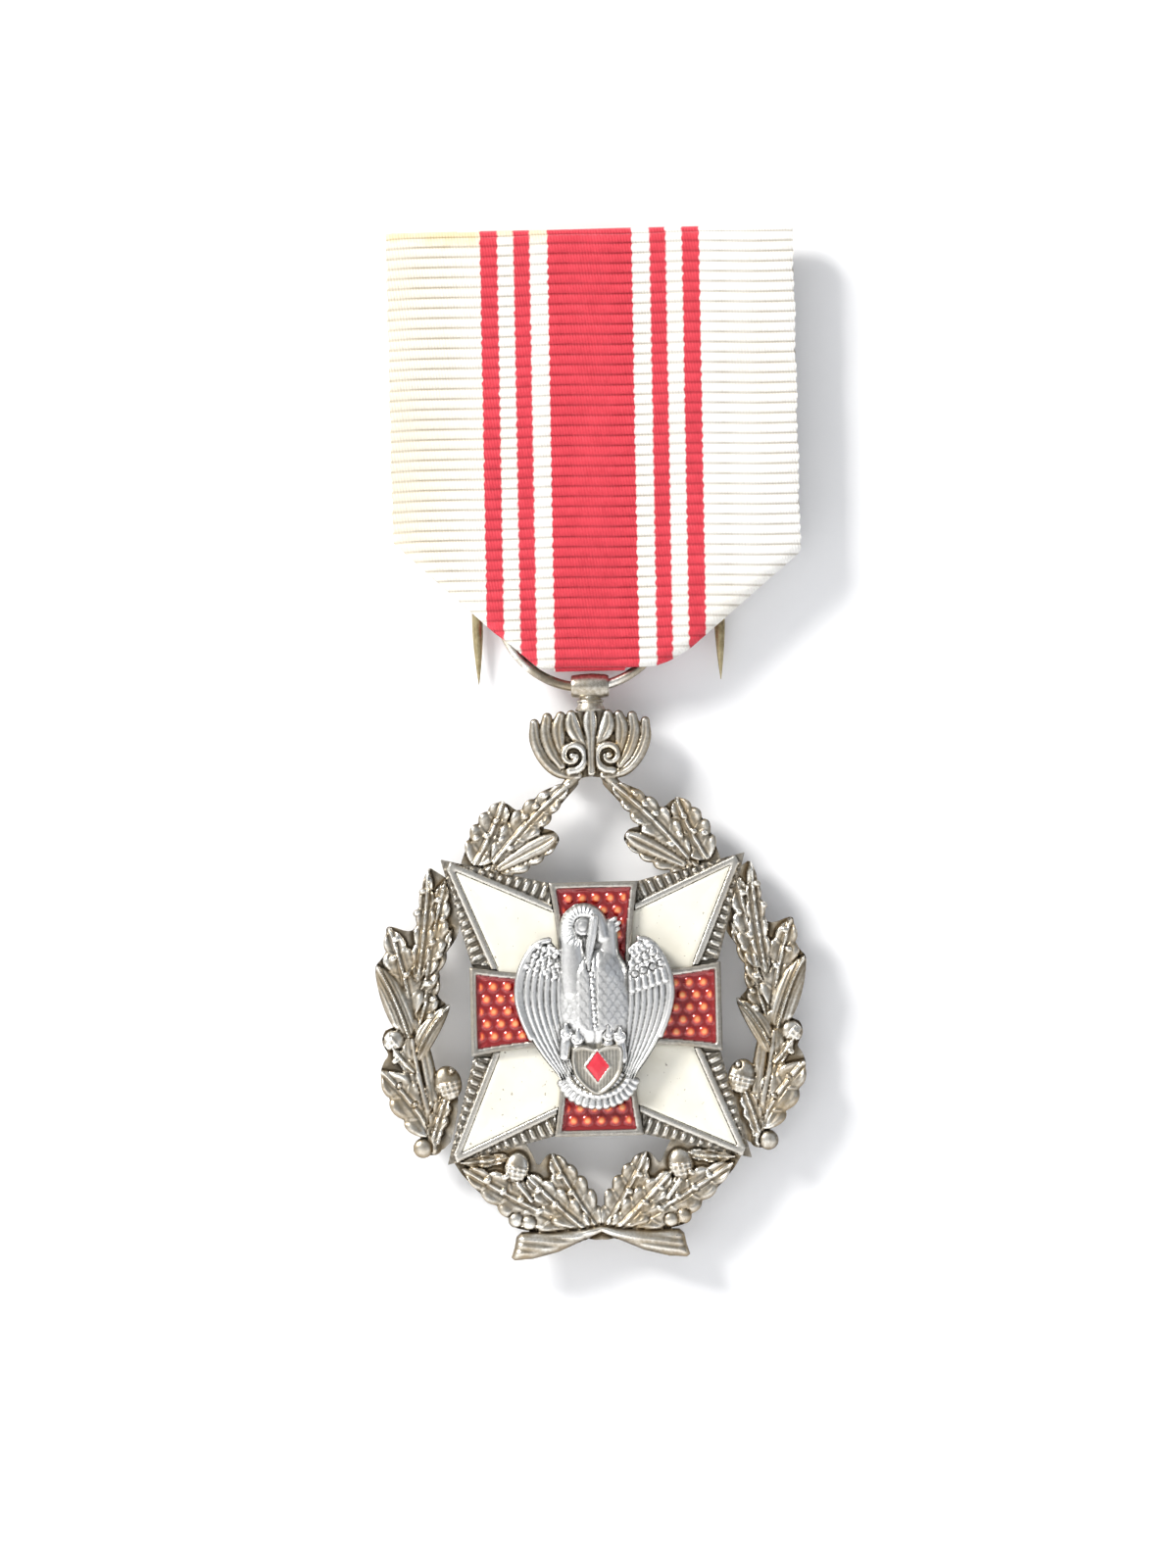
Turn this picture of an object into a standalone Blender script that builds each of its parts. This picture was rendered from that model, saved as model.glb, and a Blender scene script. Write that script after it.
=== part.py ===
"""A service medal on a folded ribbon drape, with a two-pin brooch.

The medal hangs upright and faces -Y.  +X is to the right of someone who looks at its front and +Z
is up.  The origin is the middle of the brooch plate's flat back, the face that lies on the garment.
Sizes below are in millimetres.  A depth is counted forward, towards -Y, from the plane that the
suspension ring lies in, and a place on the badge is counted from the middle of the barrel eyelet.
"""
import math

import bmesh
import bpy
from mathutils import Matrix, Vector

MM = 0.001
GAP = 0.3                     # working gap between neighbouring pieces

# Brooch: a plate on the garment, a bar through the top of the ribbon and two long pins.
RING_PLANE = 2.9              # the suspension ring's plane, in front of the plate's back
PLATE_WIDTH = 34.0
PLATE_HEIGHT = 3.8
PLATE_THICKNESS = 1.0
PLATE_CORNER = 1.2
BAR_Z = 0.7                   # the bar's axis above the middle of the plate
BAR_RADIUS = 0.9
BAR_LENGTH = 38.2
POST_WIDTH = 1.4
POST_HEIGHT = 1.15
PIN_X = 11.3
PIN_RADIUS = 0.5
PIN_TIP_Z = -39.8
PIN_TAPER = 6.0

# Ribbon drape.
RIBBON_WIDTH = 37.8
RIBBON_THICKNESS = 0.4
LOOP_RADIUS = 1.2             # inside of the loop over the bar
FOLD_Z = -38.75               # lowest point of the fold
LEFT_CORNER_Z = -27.0         # where the left side edge turns into the slope
RIGHT_CORNER_Z = -28.2
LEFT_FOLD_X = -5.9            # where the slopes reach the fold
RIGHT_FOLD_X = 6.2
WEB_HALF_WIDTH = 3.3          # the part of the fold that goes through the ring
DRAPE_TRAVEL = math.radians(60.0)
STITCH_COUNT = 8
STITCH_PITCH = 2.2
SEAM_Z = -8.0

# Suspension.
EYELET_X = -0.95
EYELET_Z = -40.3
RING_RADIUS = 8.0             # middle of the wire
WIRE_RADIUS = 0.46
BARREL_HALF_WIDTH = 1.75
BARREL_RADIUS = 1.14
BORE_RADIUS = 0.78
COLLAR_BOTTOM = -1.85

# Badge: layers, as depths from the ring's plane.
BADGE_BACK = -1.2
BASE_FRONT = 0.1
SEAT_DEPTH = 0.05             # the cross sits in a shallow seat
RIM_FRONT = 0.9
ENAMEL_FRONT = 0.75
CROSS_BACK = 0.4
CROSS_FLOOR = 0.85
CROSS_FRONT = 1.6
RED_BACK = 1.15
RED_FRONT = 1.45
BIRD_BACK = 1.9
LEAF_BACK = -0.7
LEAF_EDGE = 0.35
LEAF_CROWN = 1.05
LEAF_STAGGER = 0.047          # each leaf of a cluster stands this much prouder than the last

# Cross and saltire, from the eyelet.
CENTRE = (-0.15, -29.9)
CROSS_HALF_HEIGHT = 11.8
CROSS_HALF_SPAN = 11.65
ARM_END_HALF = 4.15
ARM_ROOT_HALF = 3.35
FRAME_WIDTH = 0.6
SALTIRE_TIP = (14.15, 14.2)   # from the centre
SALTIRE_TOP = (4.05, 11.75)   # where the reeded edge meets the cross
SALTIRE_SIDE = (11.5, 4.3)
ENAMEL_TIP = (12.75, 13.0)
ENAMEL_TOP = (4.05, 9.1)
ENAMEL_SIDE = (9.1, 4.25)
RIM_WIDTH = 0.85
RIVETS = ((-0.15, -26.6), (-0.15, -33.2))
RIVET_RADIUS = 0.55
RIVET_HEAD = 1.0

# Bird, nest and shield.
WING_THICKNESS = 0.9
TORSO_THICKNESS = 1.2
NEST_THICKNESS = 0.8
SHIELD_THICKNESS = 0.6


# Palmette: the tips of its fronds and their half widths.
PALMETTE_FRONDS = ((-5.3, -3.2, 0.62), (-3.8, -2.45, 0.75), (-2.3, -2.45, 0.8), (-0.6, -2.2, 0.8),
                   (0.9, -2.2, 0.8), (2.3, -2.45, 0.8), (3.7, -2.5, 0.75), (5.1, -3.0, 0.62))
PALMETTE_FRONT = 0.95

SEGMENTS = 24


# ---------------------------------------------------------------- tools

def place(x, z, depth=0.0):
    """A point of a piece, still in millimetres: fuse() brings the finished piece to metres."""
    return Vector((x, -depth, z))


def pivot(name, x, y, z, parent=None):
    """An empty on a joint's axis, at a place in the medal's frame."""
    empty = bpy.data.objects.new(name, None)
    bpy.context.scene.collection.objects.link(empty)
    spot = Vector((x, y, z)) * MM
    empty.parent = parent
    empty.location = spot - parent.matrix_world.translation if parent else spot
    bpy.context.view_layer.update()
    return empty


def finish(name, colour, roughness, metallic):
    """A plain material."""
    made = bpy.data.materials.new(name)
    made.use_nodes = True
    shader = made.node_tree.nodes["Principled BSDF"]
    shader.inputs["Base Color"].default_value = (*colour, 1.0)
    shader.inputs["Roughness"].default_value = roughness
    shader.inputs["Metallic"].default_value = metallic
    return made


def body(bm):
    """A scratch object that holds one closed body, for fuse()."""
    bm.normal_update()
    bmesh.ops.triangulate(bm, faces=bm.faces)
    bmesh.ops.recalc_face_normals(bm, faces=bm.faces)
    mesh = bpy.data.meshes.new("scratch")
    bm.to_mesh(mesh)
    bm.free()
    scratch = bpy.data.objects.new("scratch", mesh)
    bpy.context.scene.collection.objects.link(scratch)
    return scratch


def combine(target, others, operation):
    """Add a Boolean with each of the other bodies to the target."""
    for other in others:
        change = target.modifiers.new(operation.lower(), "BOOLEAN")
        change.operation = operation
        change.object = other


def fuse(name, parts, parent, look, cuts=(), smooth=40.0, lift=0.0):
    """One named piece: the union of its parts, less its cuts, moved up by lift."""
    parts = [body(bm) for bm in parts]
    cuts = [body(bm) for bm in cuts]
    combine(parts[0], parts[1:], "UNION")
    combine(parts[0], cuts, "DIFFERENCE")
    bpy.context.view_layer.update()
    depsgraph = bpy.context.evaluated_depsgraph_get()
    mesh = bpy.data.meshes.new_from_object(parts[0].evaluated_get(depsgraph), depsgraph=depsgraph)
    for scratch in parts + cuts:
        bpy.data.objects.remove(scratch, do_unlink=True)
    mesh.name = name
    mesh.transform(Matrix.Scale(MM, 4) @ Matrix.Translation(place(0.0, lift)))
    mesh.materials.clear()
    mesh.materials.append(look)
    mesh.shade_smooth()
    mesh.set_sharp_from_angle(angle=math.radians(smooth))
    piece = bpy.data.objects.new(name, mesh)
    bpy.context.scene.collection.objects.link(piece)
    piece.parent = parent
    return piece


# ---------------------------------------------------------------- solids

def slab(outline, back, front):
    """A plate with this outline, between two depths."""
    bm = bmesh.new()
    rear = [bm.verts.new(place(x, z, back)) for x, z in outline]
    face = [bm.verts.new(place(x, z, front)) for x, z in outline]
    bm.faces.new(face)
    bm.faces.new(rear[::-1])
    count = len(outline)
    for i in range(count):
        j = (i + 1) % count
        bm.faces.new((rear[i], rear[j], face[j], face[i]))
    return bm


def box(x0, x1, z0, z1, back, front):
    return slab([(x0, z0), (x1, z0), (x1, z1), (x0, z1)], back, front)


def leaf(tip, base, half_width, teeth=5, edge=LEAF_EDGE, crown=LEAF_CROWN, back=LEAF_BACK):
    """A leaf with a raised midrib; teeth is the number of lobes on each side, 0 for a smooth edge."""
    tip = Vector(tip)
    base = Vector(base)
    along = tip - base
    across = Vector((-along.y, along.x)).normalized()
    steps = 2 * teeth if teeth else 6
    left = []
    right = []
    ribs = []
    for i in range(1, steps):
        t = i / steps
        reach = half_width * math.sin(math.pi * t ** 0.8) ** 0.7
        if teeth and i % 2 == 0:
            reach *= 0.8
        spot = base + along * t
        left.append(spot + across * reach)
        right.append(spot - across * reach)
        ribs.append(spot)
    bm = bmesh.new()
    ring = [base] + right + [tip] + left[::-1]
    front = [bm.verts.new(place(p.x, p.y, edge)) for p in ring]
    rear = [bm.verts.new(place(p.x, p.y, back)) for p in ring]
    ridge = [bm.verts.new(place(p.x, p.y, crown)) for p in ribs]
    bm.faces.new(rear[::-1])
    count = len(ring)
    for i in range(count):
        j = (i + 1) % count
        bm.faces.new((rear[i], rear[j], front[j], front[i]))
    right_front = [front[0]] + front[1:steps] + [front[steps]]
    left_front = [front[0]] + front[:steps:-1] + [front[steps]]
    middle = [front[0]] + ridge + [front[steps]]
    for side in (right_front, left_front):
        for i in range(steps):
            corners = [side[i], side[i + 1], middle[i + 1], middle[i]]
            unique = [v for k, v in enumerate(corners) if v not in corners[:k]]
            bm.faces.new(unique)
    return bm


def turned(profile, centre, axis, segments=SEGMENTS):
    """A turned solid. The profile is (place along the axis, radius) and closes on itself."""
    bm = bmesh.new()
    rows = []
    for k in range(segments):
        angle = 2.0 * math.pi * k / segments
        c = math.cos(angle)
        s = math.sin(angle)
        row = []
        for along, radius in profile:
            if axis == "X":
                spot = place(centre[0] + along, centre[1] + radius * c, centre[2] + radius * s)
            else:
                spot = place(centre[0] + radius * c, centre[1] + radius * s, centre[2] + along)
            row.append(bm.verts.new(spot))
        rows.append(row)
    count = len(profile)
    for k in range(segments):
        here = rows[k]
        after = rows[(k + 1) % segments]
        for i in range(count):
            j = (i + 1) % count
            bm.faces.new((here[i], here[j], after[j], after[i]))
    bmesh.ops.remove_doubles(bm, verts=bm.verts, dist=1e-6)
    loose = [e for e in bm.edges if not e.link_faces]
    bmesh.ops.delete(bm, geom=loose, context="EDGES")
    return bm


def ball(x, z, depth, reach_x, reach_z, reach_depth, segments=12):
    """An ellipsoid."""
    bm = bmesh.new()
    bmesh.ops.create_uvsphere(bm, u_segments=segments, v_segments=segments // 2 + 1, radius=1.0)
    middle = place(x, z, depth)
    for v in bm.verts:
        v.co = middle + Vector((v.co.x * reach_x, v.co.y * reach_depth, v.co.z * reach_z))
    return bm


def rod(route, sides=8, flat=1.0):
    """A round bar through points (x, z, depth, radius) with closed ends; flat scales its depth."""
    bm = bmesh.new()
    places = [Vector(p[:3]) for p in route]
    rings = []
    for i, (x, z, depth, radius) in enumerate(route):
        ahead = places[min(i + 1, len(route) - 1)] - places[max(i - 1, 0)]
        across = Vector((-ahead.y, ahead.x)).normalized()
        ring = []
        for k in range(sides):
            angle = 2.0 * math.pi * k / sides
            reach = radius * math.cos(angle)
            rise = radius * math.sin(angle) * flat
            ring.append(bm.verts.new(place(x + across.x * reach, z + across.y * reach, depth + rise)))
        rings.append(ring)
    for here, after in zip(rings, rings[1:]):
        for k in range(sides):
            j = (k + 1) % sides
            bm.faces.new((here[k], here[j], after[j], after[k]))
    bm.faces.new(rings[0][::-1])
    bm.faces.new(rings[-1])
    return bm


def disc(x, z, radius, back, front, segments=16):
    """A short round post."""
    outline = []
    for k in range(segments):
        angle = 2.0 * math.pi * k / segments
        outline.append((x + radius * math.cos(angle), z + radius * math.sin(angle)))
    return slab(outline, back, front)


# ---------------------------------------------------------------- brooch

def make_brooch(root, brass):
    back = -RING_PLANE
    plate_front = back + PLATE_THICKNESS
    outline = []
    for sx, sz, first in ((1, 1, 0), (-1, 1, 90), (-1, -1, 180), (1, -1, 270)):
        x = sx * (PLATE_WIDTH / 2.0 - PLATE_CORNER)
        z = sz * (PLATE_HEIGHT / 2.0 - PLATE_CORNER)
        for k in range(5):
            angle = math.radians(first + 22.5 * k)
            outline.append((x + PLATE_CORNER * math.cos(angle), z + PLATE_CORNER * math.sin(angle)))
    fuse("brooch_plate", [slab(outline, back, plate_front)], root, brass)

    end = BAR_LENGTH / 2.0
    profile = [(-end, 0.0), (-end, BAR_RADIUS - 0.2), (-end + 0.2, BAR_RADIUS)]
    profile += [(end - 0.2, BAR_RADIUS), (end, BAR_RADIUS - 0.2), (end, 0.0)]
    bar = turned(profile, (0.0, BAR_Z, 0.0), "X", 20)
    posts = []
    for side in (-1, 1):
        x = side * PIN_X
        posts.append(box(x - POST_WIDTH / 2.0, x + POST_WIDTH / 2.0, BAR_Z - POST_HEIGHT / 2.0,
                         BAR_Z + POST_HEIGHT / 2.0, plate_front + GAP, -0.2))
    fuse("brooch_bar", [bar] + posts, root, brass)

    depth = back + PIN_RADIUS + 0.02
    top = -PLATE_HEIGHT / 2.0 - GAP
    for name, side in (("prong_left", -1), ("prong_right", 1)):
        x = side * PIN_X
        route = [(x, top, depth, PIN_RADIUS), (x, PIN_TIP_Z + PIN_TAPER, depth, PIN_RADIUS)]
        route += [(x, PIN_TIP_Z + PIN_TAPER * 0.45, depth, PIN_RADIUS * 0.72)]
        route += [(x, PIN_TIP_Z, depth, PIN_RADIUS * 0.12)]
        fuse(name, [rod(route, 12)], root, brass)


# ---------------------------------------------------------------- ribbon

def drape_outline():
    """The ribbon's front outline below the bar: side edges, two slopes and the rounded fold."""
    half = RIBBON_WIDTH / 2.0
    points = [(-half, LEFT_CORNER_Z), (LEFT_FOLD_X - 0.5, FOLD_Z + 0.5), (LEFT_FOLD_X + 1.0, FOLD_Z)]
    points += [(RIGHT_FOLD_X - 1.8, FOLD_Z), (RIGHT_FOLD_X + 1.2, FOLD_Z + 1.1), (half, RIGHT_CORNER_Z)]
    return points


def arc(radius, z, first, last, steps=14):
    """Points (depth, z) on an arc about (0, z); the angles are in degrees, from the front."""
    points = []
    for k in range(steps + 1):
        angle = math.radians(first + (last - first) * k / steps)
        points.append((radius * math.cos(angle), z + radius * math.sin(angle)))
    return points


def section(outline, x0, x1):
    """A solid with the same (depth, z) section from x0 to x1."""
    bm = bmesh.new()
    near = [bm.verts.new(place(x0, z, depth)) for depth, z in outline]
    far = [bm.verts.new(place(x1, z, depth)) for depth, z in outline]
    bm.faces.new(near)
    bm.faces.new(far[::-1])
    for i in range(len(outline)):
        j = (i + 1) % len(outline)
        bm.faces.new((near[i], far[i], far[j], near[j]))
    return bm


def make_ribbon(drape, cloth, thread):
    outer = LOOP_RADIUS + RIBBON_THICKNESS
    half = RIBBON_WIDTH / 2.0
    low = FOLD_Z + outer
    web0 = EYELET_X - WEB_HALF_WIDTH
    web1 = EYELET_X + WEB_HALF_WIDTH
    shell = arc(outer, BAR_Z, 0, 180) + [(-outer, FOLD_Z - 1.0), (outer, FOLD_Z - 1.0)]
    whole = section(shell, -half, half)

    # the inside of the loop, open below on both sides of the ring and closed inside it
    tall = arc(LOOP_RADIUS, BAR_Z, 0, 180) + [(-LOOP_RADIUS, FOLD_Z - 2.0), (LOOP_RADIUS, FOLD_Z - 2.0)]
    cuts = [section(tall, -half - 1.0, web0), section(tall, web1, half + 1.0)]
    closed = arc(LOOP_RADIUS, BAR_Z, 0, 180) + arc(LOOP_RADIUS, low, 180, 360)
    cuts.append(section(closed, web0 - 0.01, web1 + 0.01))

    # away with what lies below the slopes and the fold
    edge = drape_outline()
    below = FOLD_Z - 3.0
    frame = [(-half - 1.0, below), (-half - 1.0, LEFT_CORNER_Z + 0.99)] + edge
    frame += [(half + 1.0, RIGHT_CORNER_Z + 0.99), (half + 1.0, below)]
    cuts.append(slab(frame, -outer - 1.0, outer + 1.0))

    # round the web's lower edges, in front and behind
    for first, last, sign in ((270, 360, 1.0), (270, 180, -1.0)):
        corner = arc(outer, low, first, last, 6)
        corner += [(sign * (outer + 0.5), low), (sign * (outer + 0.5), FOLD_Z - 0.5), (0.0, FOLD_Z - 0.5)]
        cuts.append(section(corner, web0, web1))

    # slots for the bar's posts, long enough for the whole swing
    last = 180.0 - 42.0 - math.degrees(DRAPE_TRAVEL)
    for sign in (-1, 1):
        reach = POST_WIDTH / 2.0 + GAP
        slot = [(0.0, BAR_Z)] + arc(3.0, BAR_Z, 218.0, last, 8)
        cuts.append(section(slot, sign * PIN_X - reach, sign * PIN_X + reach))

    fuse("ribbon_drape", [whole], drape, cloth, cuts, lift=-BAR_Z)

    # the running seam that closes the loop, across the back layer
    seam = []
    for k in range(STITCH_COUNT):
        x = (k - (STITCH_COUNT - 1) / 2.0) * STITCH_PITCH
        seam.append((x - 0.85, SEAM_Z, -outer - GAP - 0.10, 0.09))
        seam.append((x - 0.55, SEAM_Z, -outer - GAP - 0.17, 0.16))
        seam.append((x + 0.55, SEAM_Z, -outer - GAP - 0.17, 0.16))
        seam.append((x + 0.85, SEAM_Z, -outer - GAP - 0.10, 0.09))
    fuse("seam_thread", [rod(seam, 6)], drape, thread, lift=-BAR_Z)


# ---------------------------------------------------------------- suspension

def make_ring(ring, silver):
    bm = bmesh.new()
    around = 40
    sides = 8
    rows = []
    for k in range(around):
        angle = 2.0 * math.pi * k / around
        row = []
        for i in range(sides):
            turn = 2.0 * math.pi * i / sides
            reach = RING_RADIUS + WIRE_RADIUS * math.cos(turn)
            row.append(bm.verts.new(place(reach * math.cos(angle), reach * math.sin(angle) + RING_RADIUS,
                                          WIRE_RADIUS * math.sin(turn))))
        rows.append(row)
    for k in range(around):
        here = rows[k]
        after = rows[(k + 1) % around]
        for i in range(sides):
            j = (i + 1) % sides
            bm.faces.new((here[i], here[j], after[j], after[i]))
    fuse("suspension_ring", [bm], ring, silver, smooth=60.0)


def make_eyelet(badge, silver):
    wide = BARREL_HALF_WIDTH
    profile = [(-wide, BORE_RADIUS), (wide, BORE_RADIUS), (wide, 0.95), (wide * 0.5, BARREL_RADIUS)]
    profile += [(-wide * 0.5, BARREL_RADIUS), (-wide, 0.95)]
    barrel = turned(profile, (0.0, 0.1, 0.0), "X", 20)
    collar = turned([(-0.75, 0.0), (-0.75, 0.8), (-1.3, 0.95), (COLLAR_BOTTOM, 1.2), (COLLAR_BOTTOM, 0.0)],
                    (0.0, 0.0, 0.0), "Z", 16)
    fuse("barrel_eyelet", [barrel, collar], badge, silver)


# ---------------------------------------------------------------- badge

def make_palmette(badge, silver):
    fronds = []
    for tip_x, tip_z, width in PALMETTE_FRONDS:
        bend = (tip_x * 0.75, -6.6)
        fronds.append(leaf((tip_x, tip_z), bend, width, 0, 0.4, PALMETTE_FRONT, -0.75))
    heart = [(-4.9, -4.4), (-4.2, -6.6), (-3.0, -8.1), (-1.5, -8.45), (1.5, -8.45), (3.0, -8.1), (4.1, -6.6)]
    heart += [(4.8, -4.4), (0.0, -4.0)]
    fronds.append(slab(heart, -0.75, 0.35))
    for x in (-1.6, 1.6):
        fronds.append(disc(x, -6.1, 1.25, 0.2, 1.0, 12))
    fuse("palmette", fronds, badge, silver)


def saltire_polygon(grow=0.0):
    """The saltire's outline, its notches hidden by the cross; grow moves the outline outward."""
    top = (SALTIRE_TOP[0] - grow, SALTIRE_TOP[1] + grow)
    tip = (SALTIRE_TIP[0] + 1.3 * grow, SALTIRE_TIP[1] + 1.3 * grow)
    side = (SALTIRE_SIDE[0] + grow, SALTIRE_SIDE[1] - grow)
    right = [(0.0, 6.5 + grow), top, tip, side, (7.5 + grow, 0.0)]
    right += [(x, -z) for x, z in (side, tip, top)]
    outline = right + [(-x, -z) for x, z in right]
    return [(CENTRE[0] + x, CENTRE[1] + z) for x, z in outline]


def arm_polygon(points, sx, sz):
    """A quadrant's outline, mirrored to one of the four arms."""
    return [(CENTRE[0] + sx * x, CENTRE[1] + sz * z) for x, z in points]


def to_the_left(a, b, spot, distance):
    """A spot moved square to the line from a to b, to the line's left."""
    ahead = (Vector(b) - Vector(a)).normalized()
    return spot[0] - ahead.y * distance, spot[1] + ahead.x * distance


def make_saltire(badge, silver, white):
    pieces = [slab(saltire_polygon(), BADGE_BACK, BASE_FRONT)]
    upper = to_the_left(ENAMEL_TOP, ENAMEL_TIP, ENAMEL_TOP, RIM_WIDTH)
    lower = to_the_left(ENAMEL_TIP, ENAMEL_SIDE, ENAMEL_SIDE, RIM_WIDTH)
    point = (ENAMEL_TIP[0] + 1.0, ENAMEL_TIP[1] + 0.85)
    rim = [ENAMEL_TOP, upper, point, lower, ENAMEL_SIDE, ENAMEL_TIP]
    for sx in (-1, 1):
        for sz in (-1, 1):
            pieces.append(slab(arm_polygon(rim, sx, sz), -0.2, RIM_FRONT))
    cuts = [disc(x, z, RIVET_RADIUS + GAP, -4.0, 4.0) for x, z in RIVETS]
    cuts.append(slab(cross_polygon(-GAP), BASE_FRONT - SEAT_DEPTH, CROSS_FRONT + 1.0))
    fuse("saltire", pieces, badge, silver, cuts)

    names = {(-1, 1): "white_enamel_upper_left", (1, 1): "white_enamel_upper_right",
             (-1, -1): "white_enamel_lower_left", (1, -1): "white_enamel_lower_right"}
    field = [(2.0, 8.0), (ENAMEL_TIP[0] - 0.75, ENAMEL_TIP[1] - 0.68), (8.0, 2.0), (2.0, 2.0)]
    for (sx, sz), name in names.items():
        room = slab(cross_polygon(-GAP), BASE_FRONT - 1.0, CROSS_FRONT + 1.0)
        plate = slab(arm_polygon(field, sx, sz), BASE_FRONT + GAP, ENAMEL_FRONT)
        fuse(name, [plate], badge, white, [room])


def cross_polygon(inset):
    """A cross whose arms widen a little, in a curve, towards their ends."""
    quarter = []
    steps = 5
    for k in range(steps + 1):
        t = k / steps
        half = ARM_ROOT_HALF + (ARM_END_HALF - ARM_ROOT_HALF) * (1.0 - t) ** 2 - inset
        reach = CROSS_HALF_HEIGHT - inset
        quarter.append((half, reach + (ARM_ROOT_HALF - inset - reach) * t))
    for k in range(steps):
        t = (k + 1) / steps
        half = ARM_ROOT_HALF + (ARM_END_HALF - ARM_ROOT_HALF) * t ** 2 - inset
        reach = CROSS_HALF_SPAN - inset
        quarter.append((ARM_ROOT_HALF - inset + (reach - ARM_ROOT_HALF + inset) * t, half))
    lower = [(x, -z) for x, z in quarter[::-1]]
    right = quarter + lower
    outline = right + [(-x, -z) for x, z in right]
    return [(CENTRE[0] + x, CENTRE[1] + z) for x, z in outline]


def make_cross(badge, silver, red):
    frame = slab(cross_polygon(0.0), CROSS_BACK, CROSS_FRONT)
    cuts = [slab(cross_polygon(FRAME_WIDTH), CROSS_FLOOR, CROSS_FRONT + 1.0)]
    cuts += [disc(x, z, RIVET_RADIUS + GAP, -4.0, 4.0) for x, z in RIVETS]
    fuse("cross_frame", [frame], badge, silver, cuts)
    cuts = [disc(x, z, RIVET_RADIUS + GAP, -4.0, 4.0) for x, z in RIVETS]
    fuse("red_enamel", [slab(cross_polygon(FRAME_WIDTH + GAP), RED_BACK, RED_FRONT)], badge, red, cuts)


def make_bird(badge, bright, red, silver):
    back = BIRD_BACK
    parts = []
    for side, reach in ((-1, 1.03), (1, 0.96)):
        wing = [(5.0, -23.6), (3.5, -24.6), (3.0, -26.5), (3.3, -31.5), (2.3, -35.5), (3.1, -36.5)]
        wing += [(4.9, -34.0), (6.4, -31.6), (7.2, -28.9), (7.1, -26.6), (6.3, -24.5)]
        outline = [(side * x * reach - 0.1, z) for x, z in wing]
        parts.append(slab(outline, back, back + WING_THICKNESS))
    torso = [(-2.6, -24.6), (-3.6, -27.5), (-3.5, -31.5), (3.2, -31.5), (3.2, -27.5), (1.9, -24.6)]
    parts.append(slab(torso, back, back + TORSO_THICKNESS))
    neck = []
    for k in range(9):
        angle = math.radians(215.0 - 230.0 * k / 8)
        neck.append((-1.0 + 1.5 * math.cos(angle), -22.0 + 1.5 * math.sin(angle), back + 0.75, 0.85))
    neck = [(-1.7, -25.2, back + 0.75, 1.0)] + neck
    parts.append(rod(neck, 8, 0.88))
    beak = [(0.3, -22.3, back + 0.8, 0.75), (0.1, -23.6, back + 0.9, 0.5), (0.0, -25.2, back + 0.9, 0.2)]
    parts.append(rod(beak, 8))
    crest = [(0.6, -21.4), (1.9, -21.6), (2.2, -22.0), (1.4, -24.9), (0.5, -25.0)]
    parts.append(slab(crest, back, back + 0.8))
    nest = []
    for k in range(11):
        angle = math.radians(185.0 + 170.0 * k / 10)
        nest.append((-0.1 + 3.5 * math.cos(angle), -36.3 + 2.6 * math.sin(angle)))
    parts.append(slab(nest + [(3.4, -31.3), (-3.6, -31.3)], back, back + NEST_THICKNESS))
    fuse("pelican", parts, badge, bright)

    # the young and the small shield before the nest
    shield = [(-2.4, -33.3), (2.1, -33.3), (2.2, -35.4), (1.4, -37.0)]
    shield += [(-0.1, -37.8), (-1.6, -37.0), (-2.5, -35.4)]
    face = back + NEST_THICKNESS + GAP
    front = face + SHIELD_THICKNESS
    fuse("nest_shield", [slab(shield, face, front)], badge, bright)
    middle = (-0.15, -35.2)
    lozenge = [(0.0, 1.35), (0.95, 0.0), (0.0, -1.35), (-0.95, 0.0)]
    outline = [(middle[0] + x, middle[1] + z) for x, z in lozenge]
    fuse("shield_enamel", [slab(outline, front + GAP, front + GAP + 0.25)], badge, red)

    rear = BADGE_BACK - GAP
    for name, (x, z) in zip(("rivet_upper", "rivet_lower"), RIVETS):
        shank = disc(x, z, RIVET_RADIUS, rear - 0.1, BIRD_BACK - GAP)
        head = disc(x, z, RIVET_HEAD, rear - 0.45, rear)
        fuse(name, [shank, head], badge, silver)


def sprigs(leaves):
    """A cluster of leaves, each (tip, base, half width, teeth) and a little prouder than the last."""
    made = []
    for k, (tip, base, half_width, teeth) in enumerate(leaves):
        rise = LEAF_STAGGER * k
        edge = LEAF_EDGE + rise
        crown = LEAF_CROWN + rise
        made.append(leaf(tip, base, half_width, teeth, edge, crown, LEAF_BACK - rise / 2))
    return made


def flip(leaves, reach):
    """The same cluster on the right side, its distance from the middle line times reach."""
    middle = 2.0 * CENTRE[0]
    turned_over = []
    for tip, base, half_width, teeth in leaves:
        turned_over.append(((middle - tip[0] * reach, tip[1]), (middle - base[0] * reach, base[1]),
                            half_width, teeth))
    return turned_over


TOP_LEAVES = [((-2.1, -8.85), (-9.4, -16.2), 1.55, 5), ((-8.3, -10.4), (-11.2, -16.3), 1.9, 4),
              ((-3.3, -14.3), (-9.6, -17.2), 1.45, 3), ((-5.4, -13.4), (-10.3, -17.0), 1.2, 2)]
SIDE_LEAVES = [((-15.4, -16.5), (-16.7, -27.0), 0.95, 4), ((-13.9, -17.6), (-15.9, -26.5), 1.35, 4),
               ((-19.2, -21.9), (-17.3, -30.2), 1.75, 3), ((-20.4, -25.4), (-17.6, -32.2), 1.25, 0),
               ((-13.4, -22.2), (-17.1, -29.4), 1.1, 3), ((-14.9, -26.0), (-16.9, -32.1), 1.2, 2),
               ((-13.8, -29.2), (-17.2, -34.4), 0.95, 0), ((-20.2, -35.2), (-15.6, -41.3), 1.95, 2)]
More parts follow.
